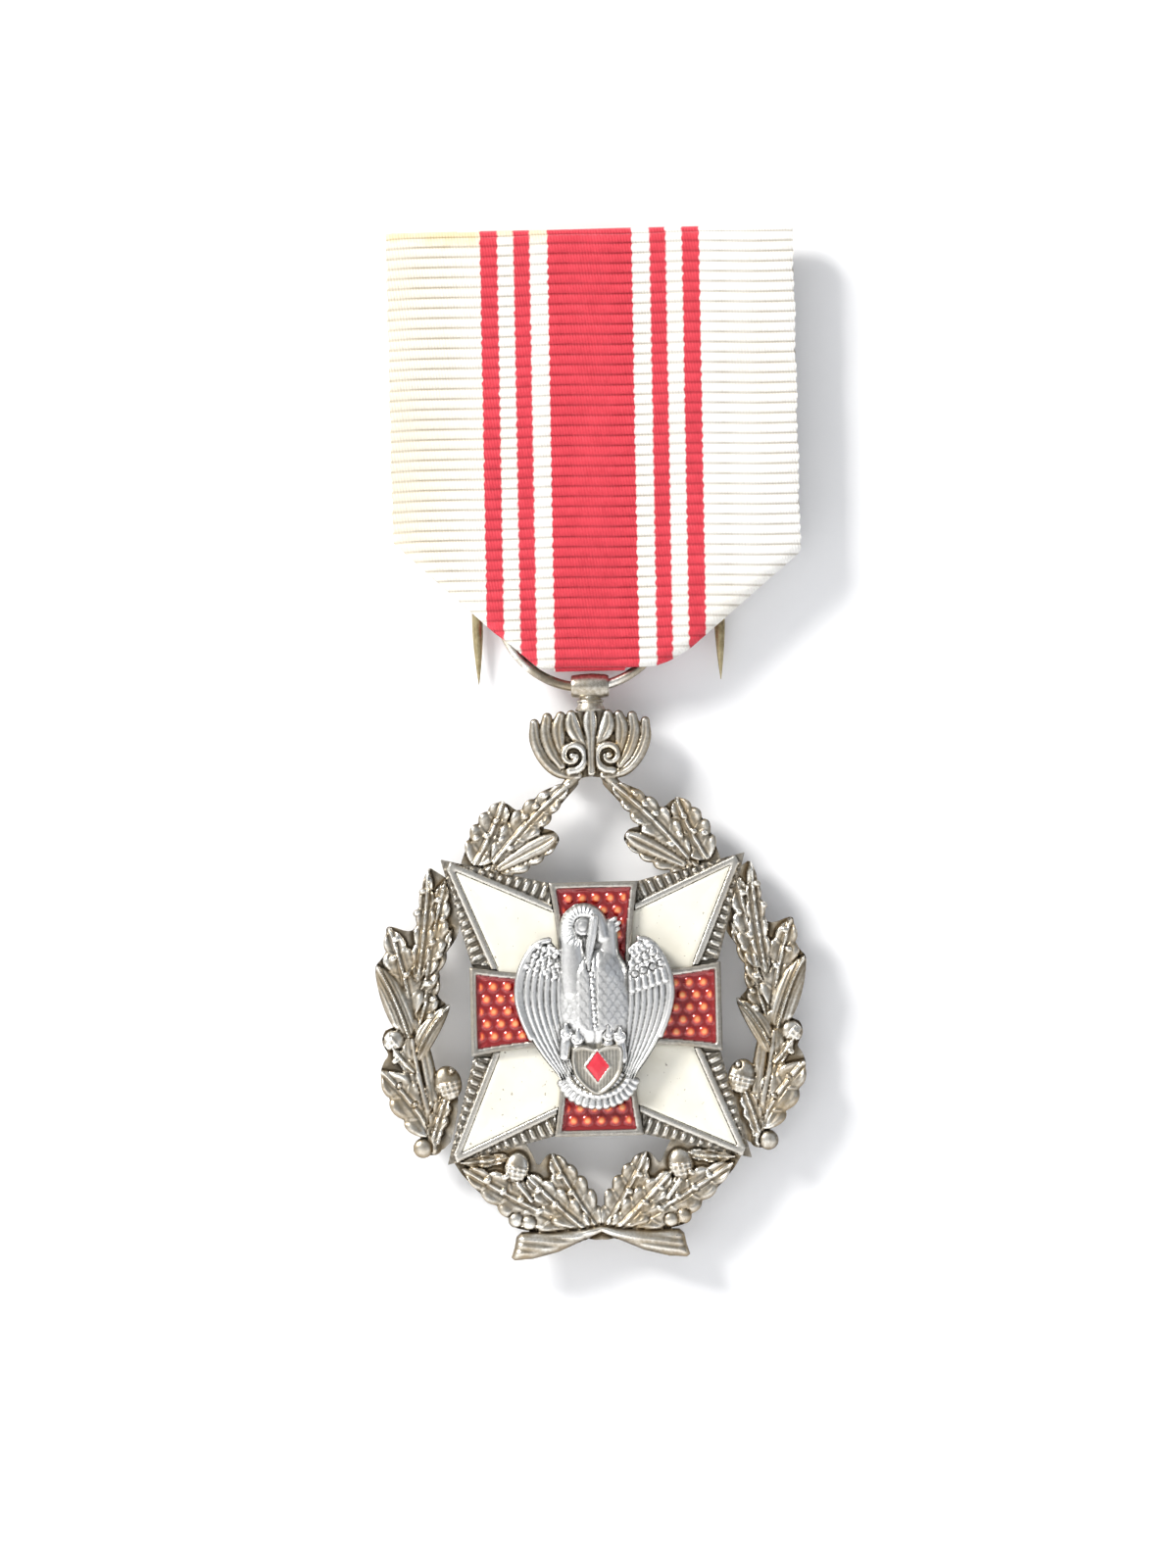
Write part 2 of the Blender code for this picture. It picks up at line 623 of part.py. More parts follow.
LOW_LEAVES = [((-12.9, -44.5), (-0.9, -50.9), 2.1, 5), ((-4.6, -43.3), (-0.5, -50.4), 1.75, 3),
              ((-7.1, -45.1), (-1.35, -50.72), 1.5, 4)]


def saltire_clearance():
    """The room that a soldered branch leaves around the saltire."""
    return slab(saltire_polygon(GAP), -6.0, 6.0)


def make_wreath(badge, silver):
    for name, side, reach in (("upper_sprig_left", -1, 1.0), ("upper_sprig_right", 1, 0.97)):
        leaves = TOP_LEAVES if side < 0 else flip(TOP_LEAVES, reach)
        fuse(name, sprigs(leaves), badge, silver, [saltire_clearance()])

    for name, side, reach in (("branch_left", -1, 1.0), ("branch_right", 1, 0.96)):
        leaves = SIDE_LEAVES if side < 0 else flip(SIDE_LEAVES, reach)

        def spot(x):
            return x if side < 0 else 2.0 * CENTRE[0] - x * reach

        parts = sprigs(leaves)
        route = ((-15.6, -42.4, 0.75), (-16.1, -39.0, 0.75), (-16.9, -35.5, 0.65), (-17.3, -32.0, 0.6),
                 (-17.1, -28.0, 0.55), (-16.3, -23.0, 0.5), (-15.4, -18.5, 0.35))
        parts.append(rod([(spot(x), z, 0.12, r) for x, z, r in route], 6))
        parts.append(ball(spot(-14.1), -36.7, 0.15, 1.5, 1.75, 0.85, 8))
        parts.append(rod([(spot(-14.3), -38.0, 0.0, 0.6), (spot(-15.9), -40.8, 0.0, 0.4)], 6))
        parts.append(ball(spot(-19.0), -32.4, 0.1, 1.05, 1.1, 0.75, 8))
        parts.append(rod([(spot(-18.8), -32.6, 0.0, 0.4), (spot(-17.2), -34.0, 0.0, 0.4)], 6))
        parts.append(ball(spot(-16.6), -42.6, 0.0, 0.85, 0.85, 0.7, 8))
        fuse(name, parts, badge, silver, [saltire_clearance()])

    for name, side, reach in (("lower_spray_left", -1, 1.0), ("lower_spray_right", 1, 0.97)):
        leaves = LOW_LEAVES if side < 0 else flip(LOW_LEAVES, reach)

        def spot(x):
            return x if side < 0 else 2.0 * CENTRE[0] - x * reach

        parts = sprigs(leaves)
        route = ((-0.55, -51.0, 0.35), (-3.0, -51.6, 0.6), (-5.6, -52.0, 0.85), (-8.2, -52.15, 0.9))
        parts.append(rod([(spot(x), z, 0.12, r) for x, z, r in route], 6))
        parts.append(ball(spot(-7.9), -44.6, 0.15, 1.2, 1.6, 0.85, 8))
        parts.append(ball(spot(-7.5), -49.5, 0.0, 0.95, 0.95, 0.75, 8))
        parts.append(rod([(spot(-7.2), -49.6, 0.07, 0.48), (spot(-3.0), -50.55, 0.07, 0.48)], 6))
        middle = CENTRE[0] + side * GAP / 2.0
        other_half = box(min(middle, -6.0 * side), max(middle, -6.0 * side), -54.0, -40.0, -6.0, 6.0)
        fuse(name, parts, badge, silver, [saltire_clearance(), other_half])


def main():
    for old in list(bpy.data.objects):
        bpy.data.objects.remove(old, do_unlink=True)
    brass = finish("brass", (0.62, 0.45, 0.19), 0.35, 1.0)
    silver = finish("toned_silver", (0.52, 0.47, 0.40), 0.38, 1.0)
    bright = finish("bright_silver", (0.72, 0.72, 0.70), 0.3, 1.0)
    white = finish("white_enamel", (0.88, 0.87, 0.80), 0.18, 0.0)
    red = finish("red_enamel", (0.55, 0.02, 0.02), 0.15, 0.0)
    cloth = finish("moire_ribbon", (0.83, 0.25, 0.28), 0.75, 0.0)
    thread = finish("white_thread", (0.85, 0.83, 0.78), 0.85, 0.0)

    root = pivot("brooch", 0.0, 0.0, 0.0)
    frame = pivot("brooch_frame", 0.0, -RING_PLANE, 0.0, root)
    drape = pivot("drape_pivot", 0.0, -RING_PLANE, BAR_Z, root)
    ring = pivot("ring_pivot", EYELET_X, -RING_PLANE, EYELET_Z, drape)
    badge = pivot("badge_pivot", EYELET_X, -RING_PLANE, EYELET_Z, ring)

    make_brooch(frame, brass)
    make_ribbon(drape, cloth, thread)
    make_ring(ring, silver)
    make_eyelet(badge, silver)
    make_palmette(badge, silver)
    make_saltire(badge, silver, white)
    make_cross(badge, silver, red)
    make_bird(badge, bright, red, silver)
    make_wreath(badge, silver)


main()
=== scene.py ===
"""The looks of a service medal: a folded ribbon drape, an oak wreath, an enamelled cross and a bird.

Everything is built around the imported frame.  Sizes are millimetres; a place on the badge is counted
from the middle of the barrel eyelet (x to the right, z up), a place on the brooch or the ribbon from
the middle of the brooch plate, and a depth is counted forward from the suspension ring's plane.
Struck metal and enamel are reliefs: a height over a fine grid, cut to its outline and closed behind.
"""
import math

import bmesh
import bpy
import numpy as np
from mathutils import Matrix, Vector


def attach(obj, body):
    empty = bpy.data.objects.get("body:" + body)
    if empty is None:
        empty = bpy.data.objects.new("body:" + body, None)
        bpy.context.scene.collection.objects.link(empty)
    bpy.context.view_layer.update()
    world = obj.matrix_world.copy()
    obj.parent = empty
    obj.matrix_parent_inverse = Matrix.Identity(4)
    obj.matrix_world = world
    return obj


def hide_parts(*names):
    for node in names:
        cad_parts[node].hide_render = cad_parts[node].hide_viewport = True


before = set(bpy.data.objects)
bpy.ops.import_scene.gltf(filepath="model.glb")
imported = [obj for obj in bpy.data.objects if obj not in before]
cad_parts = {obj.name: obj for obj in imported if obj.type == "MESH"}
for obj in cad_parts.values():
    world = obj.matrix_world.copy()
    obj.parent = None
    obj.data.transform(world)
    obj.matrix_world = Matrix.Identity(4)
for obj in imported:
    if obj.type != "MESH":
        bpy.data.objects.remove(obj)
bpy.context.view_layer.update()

MM = 0.001
RING_PLANE = 2.9
EYELET = (-0.95, -40.3)           # the badge's own zero, in the medal's frame
NO_SHIFT = (0.0, 0.0)

# Badge layers, as depths.
BADGE_BACK = -1.2
BASE_FRONT = 0.1
RIM_FRONT = 0.9
ENAMEL_FRONT = 0.78
CROSS_BACK = 0.4
CROSS_FRONT = 1.6
RED_BED = 1.2
BIRD_BACK = 1.75
LEAF_BACK = -0.7
LEAF_EDGE = 0.35
SHIELD_BACK = 3.0
PALMETTE_BACK = -0.75
HEAD = (-1.2, -22.15)

# The wear value of surfaces without hollows.
PLAIN_WEAR = 0.45
TURNED_WEAR = 0.55

CENTRE = (-0.15, -29.9)
CROSS_HALF_HEIGHT = 11.8
CROSS_HALF_SPAN = 11.65
ARM_END_HALF = 4.15
ARM_ROOT_HALF = 3.35
FRAME_WIDTH = 0.6
SALTIRE_TIP = (14.15, 14.2)
SALTIRE_TOP = (4.05, 11.75)
SALTIRE_SIDE = (11.5, 4.3)
ENAMEL_TIP = (12.75, 13.0)
ENAMEL_TOP = (4.05, 9.1)
ENAMEL_SIDE = (9.1, 4.25)
RIM_WIDTH = 0.85
REED_PITCH = 0.85
DOT_START = (-2.5, -19.6)
DOT_PITCH = 1.3
DOT_ROW = 1.147

# Suspension.
RING_RADIUS = 8.0
RING_WIRE = 0.46
RING_SHIFT = -0.35

# Ribbon.
RIBBON_HALF = 18.9
CLOTH = 0.34
LOOP_RADIUS = 1.42                # middle of the cloth over the bar
BAR_Z = 0.7
FOLD_Z = -38.75
RIB_PITCH = 0.94
RIB_HEIGHT = 0.11
STRIPE_EDGES = (3.8, 5.45, 6.95, 8.45, 10.05)     # from the red middle outward, red and white by turns
STRIPE_RAMP = 20.0                                # how far from the middle the stripes' ramp reaches


# ---------------------------------------------------------------- reliefs

def smooth_step(low, high, value):
    t = np.clip((value - low) / (high - low), 0.0, 1.0)
    return t * t * (3.0 - 2.0 * t)


def polygon(x, z, points):
    """Distance to a closed outline, positive inside it."""
    nearest = np.full(x.shape, 1e9)
    within = np.zeros(x.shape, bool)
    for (ax, az), (bx, bz) in zip(points, points[1:] + points[:1]):
        ex, ez = bx - ax, bz - az
        t = np.clip(((x - ax) * ex + (z - az) * ez) / (ex * ex + ez * ez), 0.0, 1.0)
        nearest = np.minimum(nearest, np.hypot(x - ax - ex * t, z - az - ez * t))
        if ez:
            crosses = ((az > z) != (bz > z)) & (x < ex * (z - az) / ez + ax)
            within ^= crosses
    return np.where(within, nearest, -nearest)


def curve(points, steps=6):
    """A smooth route through points of any dimension."""
    points = np.array(points, float)
    ends = np.vstack([2 * points[0] - points[1], points, 2 * points[-1] - points[-2]])
    route = []
    for k in range(len(points) - 1):
        p0, p1, p2, p3 = ends[k:k + 4]
        for i in range(steps):
            t = i / steps
            route.append(0.5 * (2 * p1 + (p2 - p0) * t + (2 * p0 - 5 * p1 + 4 * p2 - p3) * t * t
                                + (3 * p1 - p0 - 3 * p2 + p3) * t ** 3))
    route.append(points[-1])
    return np.array(route)


def rounded(points, steps):
    """A smooth closed outline through points."""
    return [tuple(p) for p in curve(points + points[:1], steps)][:-1]


def blurred(values, weight, reach):
    """The mean of the values around each grid point, over a square."""
    total, share = values * weight, weight.astype(float)
    for axis in (0, 1):
        total = sum(np.roll(total, k, axis) for k in range(-reach, reach + 1))
        share = sum(np.roll(share, k, axis) for k in range(-reach, reach + 1))
    return total / np.maximum(share, 1e-6)


class Relief:
    """A height over a grid, and how far inside its outline each point lies."""

    def __init__(self, x0, x1, z0, z1, pitch=0.1):
        self.pitch = pitch
        self.x, self.z = np.meshgrid(np.arange(x0, x1 + pitch, pitch), np.arange(z0, z1 + pitch, pitch))
        self.inside = np.full(self.x.shape, -9.0)
        self.height = np.full(self.x.shape, -9.0)

    def within(self, points):
        return polygon(self.x, self.z, points)

    def put(self, inside, height, over=False, groove=0.0):
        """Add a form. One that goes over the others hides them and cuts a groove around itself."""
        fresh = (inside > -1.6 * self.pitch) & (self.inside <= 0.0)
        raised = np.where(fresh | (inside > 0.0), np.maximum(self.height, height), self.height)
        if over:
            cut = self.height - groove * np.exp(-(np.minimum(inside, 0.0) / 0.16) ** 2)
            raised = np.where(inside > 0.0, height, np.where(fresh, raised, cut))
        self.height = raised
        self.inside = np.maximum(self.inside, inside)

    def stroke(self, points, base, rise, over=False, groove=0.0, steps=6, crease=0.0, beads=0.0):
        """A rounded ridge along points (x, z, half width)."""
        route = curve(points, steps)
        best = np.full(self.x.shape, -9.0)
        ratio = np.ones(self.x.shape)
        along = np.zeros(self.x.shape)
        run = 0.0
        for (x0, z0, w0), (x1, z1, w1) in zip(route, route[1:]):
            ex, ez = x1 - x0, z1 - z0
            length = max(math.hypot(ex, ez), 1e-6)
            t = np.clip(((self.x - x0) * ex + (self.z - z0) * ez) / length ** 2, 0.0, 1.0)
            away = np.hypot(self.x - x0 - ex * t, self.z - z0 - ez * t)
            width = w0 + (w1 - w0) * t
            better = width - away > best
            best = np.where(better, width - away, best)
            ratio = np.where(better, away / width, ratio)
            along = np.where(better, run + t * length, along)
            run += length
        form = np.sqrt(np.clip(1.0 - ratio ** 2, 0.0, 1.0))
        height = base + rise * form - crease * np.exp(-(ratio / 0.22) ** 2)
        if beads:
            height = height + 0.5 * rise * (np.abs(np.sin(np.pi * along / beads)) - 0.6) * form
        self.put(best, height, over, groove)

    def leaf(self, tip, base, half, lobes, bow=0.0, lift=0.0, over=True):
        """A lobed leaf with a midrib, a vein to each lobe and a puffed edge."""
        tip, base = np.array(tip), np.array(base)
        length = np.hypot(*(tip - base))
        a0, a1 = (tip - base) / length
        u = ((self.x - base[0]) * a0 + (self.z - base[1]) * a1) / length
        v = (self.x - base[0]) * -a1 + (self.z - base[1]) * a0
        t = np.clip(u, 0.0, 1.0)
        v = v - bow * np.sin(np.pi * t)
        side = np.abs(v)
        width = half * np.sin(np.pi * t ** 0.8) ** 0.62
        phase = (t - 0.55 * side / length) * lobes + 0.25
        swell = np.abs(np.sin(np.pi * phase)) ** 0.6 if lobes else np.ones_like(t)
        edge = width * (0.72 + 0.3 * swell) if lobes else width
        inside = np.minimum(edge - side, np.minimum(u, 1.0 - u) * length * 0.8 + 0.05)
        share = np.clip(side / np.maximum(edge, 0.05), 0.0, 1.0)
        dome = np.sqrt(1.0 - share ** 2)
        height = LEAF_EDGE + lift + 0.36 * dome
        height += 0.2 * np.exp(-(v / 0.15) ** 2) - 0.12 * np.exp(-((side - 0.3) / 0.13) ** 2)
        if lobes:
            vein = np.abs(((phase - 0.5) % 1.0) - 0.5) * length / lobes
            height += 0.17 * np.exp(-(vein / 0.12) ** 2) * smooth_step(0.15, 0.4, side)
            height += 0.2 * swell * smooth_step(0.45, 0.8, share) - 0.16 * (1.0 - swell)
        else:
            height += 0.07 * np.cos(side / 0.2 * math.pi) * dome
        self.put(inside, height, over, 0.12)

    def dome(self, x, z, reach_x, reach_z, base, rise, turn=0.0, over=True, groove=0.15, nut=False):
        """An oval boss; a nut also has a hatched cup at its lower end."""
        c, s = math.cos(turn), math.sin(turn)
        p = (self.x - x) * c + (self.z - z) * s
        q = (self.z - z) * c - (self.x - x) * s
        far = np.hypot(p / reach_x, q / reach_z)
        height = base + rise * np.sqrt(np.clip(1.0 - far ** 2, 0.0, 1.0))
        if nut:
            cup = smooth_step(0.1, -0.05, q / reach_z)
            height += cup * (0.12 + 0.09 * np.sin(6.5 * (p + q)) * np.sin(6.5 * (p - q)))
        self.put((1.0 - far) * min(reach_x, reach_z), height, over, groove)

    def trim(self, inside):
        """Keep only what also lies inside this."""
        self.inside = np.minimum(self.inside, inside)

    def build(self, name, back, shift=EYELET, hollow=0.0, wear_reach=5, wear_gain=2.2):
        """The closed mesh, its back flat or hollowed a little behind the high parts."""
        kept = self.inside > 0.0
        mean = blurred(self.height, kept, wear_reach)
        wear_and_shade = np.clip(0.5 + (self.height - mean) * wear_gain, 0.0, 1.0)
        wear_and_shade = np.where(kept, wear_and_shade, PLAIN_WEAR)
        rear = np.full(self.x.shape, back)
        if hollow:
            rear = rear + hollow * np.clip(mean - LEAF_EDGE, 0.0, 1.5) * smooth_step(0.0, 0.6, self.inside)
        front = spots(self.x, self.z, self.height, shift)
        return closed(name, self.inside, front, spots(self.x, self.z, rear, shift), wear_and_shade)


def spots(x, z, depth, shift=EYELET):
    """Places in metres for places in millimetres."""
    x, z, depth = np.broadcast_arrays(x, z, depth)
    return np.stack([(x + shift[0]) * MM, -(RING_PLANE + depth) * MM, (z + shift[1]) * MM], -1)


def cut_to_outline(inside, layers):
    """Move each outside grid point that borders the inside onto the outline."""
    count = np.zeros(inside.shape)
    moves = [np.zeros_like(layer) for layer in layers]
    for group in (((0, 1), (0, -1), (1, 0), (-1, 0)), ((1, 1), (1, -1), (-1, 1), (-1, -1))):
        waiting = (inside <= 0.0) & (count == 0)
        for step in group:
            near = np.roll(inside, step, (0, 1))
            use = waiting & (near > 0.0)
            share = np.where(use, inside / np.where(use, inside - near, 1.0), 0.0)
            share = np.clip(share, 0.0, 1.0)
            for layer, move in zip(layers, moves):
                weight = share[..., None] if layer.ndim == 3 else share
                move += weight * (np.roll(layer, step, (0, 1)) - layer)
            count += use
    for layer, move in zip(layers, moves):
        parts = np.maximum(count, 1.0)
        layer += move / (parts[..., None] if layer.ndim == 3 else parts)


def closed(name, inside, front, back, wear_and_shade):
    """A closed mesh between two surfaces, over the cells of the grid that reach inside."""
    front, back, wear_and_shade = front.copy(), back.copy(), wear_and_shade.copy()
    cut_to_outline(inside, [front, back, wear_and_shade])
    within = inside > 0.0
    cell = within[:-1, :-1] | within[1:, :-1] | within[:-1, 1:] | within[1:, 1:]
    used = np.zeros(inside.shape, bool)
    for part in (used[:-1, :-1], used[1:, :-1], used[:-1, 1:], used[1:, 1:]):
        part |= cell
    count = int(used.sum())
    index = np.cumsum(used.ravel()).reshape(used.shape) - 1
    r, c = np.nonzero(cell)
    corners = np.stack([index[r, c], index[r, c + 1], index[r + 1, c + 1], index[r + 1, c]], 1)
    faces = [corners, corners[:, ::-1] + count]
    around = np.pad(cell, 1)
    for (dr, dc), (i, j) in (((-1, 0), (0, 1)), ((0, 1), (1, 2)), ((1, 0), (2, 3)), ((0, -1), (3, 0))):
        open_side = ~around[r + 1 + dr, c + 1 + dc]
        a, b = corners[open_side, i], corners[open_side, j]
        faces.append(np.stack([b, a, a + count, b + count], 1))
    verts = np.concatenate([front[used], back[used]])
    flat = np.full(count, PLAIN_WEAR)
    return mesh_object(name, verts, np.concatenate(faces), np.concatenate([wear_and_shade[used], flat]))


def mesh_object(name, verts, quads, wear_and_shade=None, sharp=60.0):
    """An object from arrays of places and four-cornered faces."""
    mesh = bpy.data.meshes.new(name)
    mesh.vertices.add(len(verts))
    mesh.vertices.foreach_set("co", np.ascontiguousarray(verts, np.float32).ravel())
    mesh.loops.add(quads.size)
    mesh.loops.foreach_set("vertex_index", np.ascontiguousarray(quads, np.int32).ravel())
    mesh.polygons.add(len(quads))
    mesh.polygons.foreach_set("loop_start", np.arange(0, quads.size, 4, dtype=np.int32))
    mesh.update(calc_edges=True)
    if wear_and_shade is not None:
        mesh.attributes.new("wear_and_shade", "FLOAT", "POINT").data.foreach_set("value", wear_and_shade.astype(np.float32))
    mesh.validate()
    mesh.shade_smooth()
    mesh.set_sharp_from_angle(angle=math.radians(sharp))
    made = bpy.data.objects.new(name, mesh)
    bpy.context.scene.collection.objects.link(made)
    return made


def settle(piece, look, body, slot, *nodes):
    """Give a piece its material and its body, and hide the CAD nodes that it stands for. The slot is not
    used.
    """
    piece.data.materials.append(look)
    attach(piece, body)
    if nodes:
        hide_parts(*nodes)
    return piece


def tube(name, routes, sides=14):
    """Round bars along routes of (x, z, depth, radius), as one object with closed ends."""
    verts, quads = [], []
    for route in routes:
        route = np.array(route, float)
        start = len(verts)
        across = None
        for i, (x, z, depth, radius) in enumerate(route):
            ahead = route[min(i + 1, len(route) - 1), :3] - route[max(i - 1, 0), :3]
            ahead = ahead / np.linalg.norm(ahead)
            if across is None:
                across = np.cross(ahead, (0.0, 0.0, 1.0))
                if np.linalg.norm(across) < 0.1:
                    across = np.cross(ahead, (1.0, 0.0, 0.0))
            across = across - ahead * np.dot(across, ahead)
            across = across / np.linalg.norm(across)
            up = np.cross(across, ahead)
            for k in range(sides):
                angle = 2.0 * math.pi * k / sides
                offset = (across * math.cos(angle) + up * math.sin(angle)) * radius
                verts.append((x + offset[0], z + offset[1], depth + offset[2]))
        last = start + (len(route) - 1) * sides
        for here in range(start, last, sides):
            for k in range(sides):
                j = (k + 1) % sides
                quads.append((here + k, here + sides + k, here + sides + j, here + j))
        for end, order in ((start, 1), (last, -1)):
            middle = len(verts)
            verts.append(tuple(np.array(verts[end:end + sides]).mean(0)))
            for k in range(0, sides, 2):
                quads.append((middle, end + k, end + (k + 1) % sides, end + (k + 2) % sides)[::order])
    places = spots(*np.array(verts).T, NO_SHIFT)
    return upright(mesh_object(name, places, np.array(quads), np.full(len(places), TURNED_WEAR), 50.0))


def upright(made):
    """Turn every face of a closed piece outward."""
    bm = bmesh.new()
    bm.from_mesh(made.data)
    bmesh.ops.recalc_face_normals(bm, faces=bm.faces)
    bm.to_mesh(made.data)
    bm.free()
    return made


def wrapped(index):
    """Faces over a grid of points that closes on itself both ways."""
    corners = [index, np.roll(index, -1, 1), np.roll(index, -1, (0, 1)), np.roll(index, -1, 0)]
    return np.stack(corners, -1).reshape(-1, 4)


def lathe(name, profile, centre, axis, shift, sides=40):
    """A turned piece. The profile is (place along the axis, radius) and closes on itself."""
    profile = np.array(profile, float)
    turns = np.arange(sides)[:, None] * 2.0 * math.pi / sides
    along = np.broadcast_to(profile[:, 0], (sides, len(profile)))
    c, s = profile[:, 1] * np.cos(turns), profile[:, 1] * np.sin(turns)
    parts = {"X": (along, c, s), "Z": (c, along, s), "Y": (c, s, along)}[axis]
    places = spots(*(middle + part for middle, part in zip(centre, parts)), shift).reshape(-1, 3)
    quads = wrapped(np.arange(len(places)).reshape(along.shape))
    return upright(mesh_object(name, places, quads, np.full(len(places), TURNED_WEAR), 40.0))


# ---------------------------------------------------------------- materials

class Look:
    """A node material, with short ways to add nodes."""

    def __init__(self, name, **sockets):
        self.material = bpy.data.materials.new(name)
        self.material.use_nodes = True
        self.tree = self.material.node_tree
        self.shader = self.tree.nodes["Principled BSDF"]
        for socket, value in sockets.items():
            self.shader.inputs[socket.replace("_", " ")].default_value = value

    def add(self, kind, values=None, out=0, **settings):
        node = self.tree.nodes.new("ShaderNode" + kind)
        for key, value in settings.items():
            setattr(node, key, value)
        for socket, value in (values or {}).items():
            if isinstance(value, bpy.types.NodeSocket):
                self.tree.links.new(value, node.inputs[socket])
            else:
                node.inputs[socket].default_value = value
        return node.outputs[out]

    def place(self):
        """Places in millimetres, in the medal's frame."""
        spot = self.add("TexCoord", out=3)
        return self.add("VectorMath", {0: spot, 3: 1.0 / MM}, operation="SCALE")

    def axes(self, at):
        """The x and the z of places."""
        parts = self.add("SeparateXYZ", {0: at}).node.outputs
        return parts[0], parts[2]

    def noise(self, scale, detail=3.0, roughness=0.55, at=None):
        at = at or self.place()
        return self.add("TexNoise", {"Vector": at, "Scale": scale, "Detail": detail, "Roughness": roughness})

    def ramp(self, factor, *stops):
        node = self.tree.nodes.new("ShaderNodeValToRGB")
        self.tree.links.new(factor, node.inputs[0])
        line = node.color_ramp
        while len(line.elements) < len(stops):
            line.elements.new(0.5)
        for element, (position, colour) in zip(line.elements, stops):
            element.position = position
            element.color = (*colour, 1.0) if isinstance(colour, tuple) else (colour, colour, colour, 1.0)
        return node.outputs[0]

    def mix(self, factor, a, b, blend="MIX"):
        return self.add("MixRGB", {0: factor, 1: a, 2: b}, blend_type=blend)

    def math(self, operation, a, *others):
        return self.add("Math", dict(enumerate((a, *others))), operation=operation)

    def plus(self, a, b):
        return self.math("ADD", a, b)

    def times(self, a, b):
        return self.math("MULTIPLY", a, b)

    def centred(self, noise, width):
        """A noise moved to vary about zero, over this width."""
        return self.times(self.math("SUBTRACT", noise, 0.5), width)

    # the value stored with the mesh: tarnish and rubbing on metal, the bed's nearness in the red enamel, and
    # painted shade in the ribbon's grooves
    def wear_and_shade(self):
        return self.add("Attribute", out=2, attribute_name="wear_and_shade")

    def set(self, socket, value):
        self.tree.links.new(value, self.shader.inputs[socket])

    def roughness(self, varying, width, least):
        self.set("Roughness", self.math("MULTIPLY_ADD", varying, width, least))

    def bump(self, height, strength, depth):
        """Relief in the surface itself, its depth in millimetres."""
        values = {"Height": height, "Strength": strength, "Distance": depth * MM}
        self.set("Normal", self.add("Bump", values))


def silver_look(name, dark, mid, bright, rough_low, rough_high, patina):
    """Silver with tarnish in its hollows, rubbed bright on its high parts."""
    look = Look(name, Metallic=1.0, Roughness=0.35)
    cloud = look.noise(0.35, 4.0)
    level = look.plus(look.wear_and_shade(), look.centred(look.noise(3.2, 4.0, 0.65), 0.5))
    colour = look.ramp(level, (0.2, dark), (0.5, mid), (0.76, bright))
    stain = look.ramp(cloud, (0.42, 0.0), (0.7, patina))
    look.set("Base Color", look.mix(stain, colour, (0.40, 0.30, 0.17, 1.0)))
    rough = look.math("MULTIPLY_ADD", level, rough_low - rough_high, rough_high)
    look.set("Roughness", look.plus(rough, look.times(look.noise(1.4, 5.0, 0.7), 0.16)))
    look.bump(look.noise(7.0, 3.0, 0.6), 0.35, 0.04)
    return look.material


def brass_look(name, dark, mid, bright):
    """Drawn brass, dull and stained."""
    look = Look(name, Metallic=1.0, Roughness=0.34)
    look.set("Base Color", look.ramp(look.noise(0.7, 5.0, 0.65), (0.3, dark), (0.48, mid), (0.7, bright)))
    at = look.add("VectorMath", {0: look.place(), 1: (6.0, 6.0, 0.6)}, operation="MULTIPLY")
    drawn = look.noise(1.0, 3.0, 0.6, at)
    look.roughness(drawn, 0.3, 0.2)
    look.bump(drawn, 0.25, 0.04)
    return look.material


def white_enamel_look():
    """Ivory glass with a few open pits."""
    look = Look("ivory_enamel", Roughness=0.16, Coat_Weight=0.4, Coat_Roughness=0.06)
    base = look.ramp(look.noise(0.25, 3.0), (0.3, (0.86, 0.83, 0.73)), (0.7, (0.93, 0.915, 0.85)))
    rim = look.ramp(look.wear_and_shade(), (0.0, (0.70, 0.66, 0.57)), (0.26, (0.93, 0.92, 0.87)))
    toned = look.mix(0.75, base, rim, "MULTIPLY")
    pits = look.ramp(look.noise(2.6, 2.0, 0.4), (0.24, 1.0), (0.275, 0.0))
    look.set("Base Color", look.mix(pits, toned, (0.42, 0.38, 0.31, 1.0)))
    look.roughness(look.noise(1.1, 3.0), 0.14, 0.1)
    look.bump(look.noise(0.9, 2.0), 0.3, 0.08)
    return look.material


def red_enamel_look():
    """Red glass over a dotted bed: the wear value is how near the bed is to the surface."""
    look = Look("red_enamel", Metallic=0.35, Roughness=0.22, Coat_Weight=1.0, Coat_Roughness=0.05)
    level = look.plus(look.wear_and_shade(), look.centred(look.noise(2.2), 0.25))
    look.set("Base Color", look.ramp(level, (0.1, (0.29, 0.010, 0.012)), (0.45, (0.54, 0.027, 0.020)),
                                     (0.72, (0.84, 0.15, 0.04)), (0.96, (1.0, 0.46, 0.19))))
    look.roughness(look.noise(1.7, 3.0), 0.2, 0.14)
    look.bump(look.noise(1.2, 2.0), 0.2, 0.06)
    return look.material


def shield_red_look():
    """The small opaque enamel on the shield."""
    look = Look("opaque_red_enamel", Roughness=0.2, Coat_Weight=0.5, Coat_Roughness=0.06)
    red = look.ramp(look.noise(1.3), (0.3, (0.62, 0.025, 0.045)), (0.7, (0.74, 0.045, 0.07)))
    look.set("Base Color", red)
    look.bump(look.noise(1.5, 2.0), 0.2, 0.05)
    return look.material


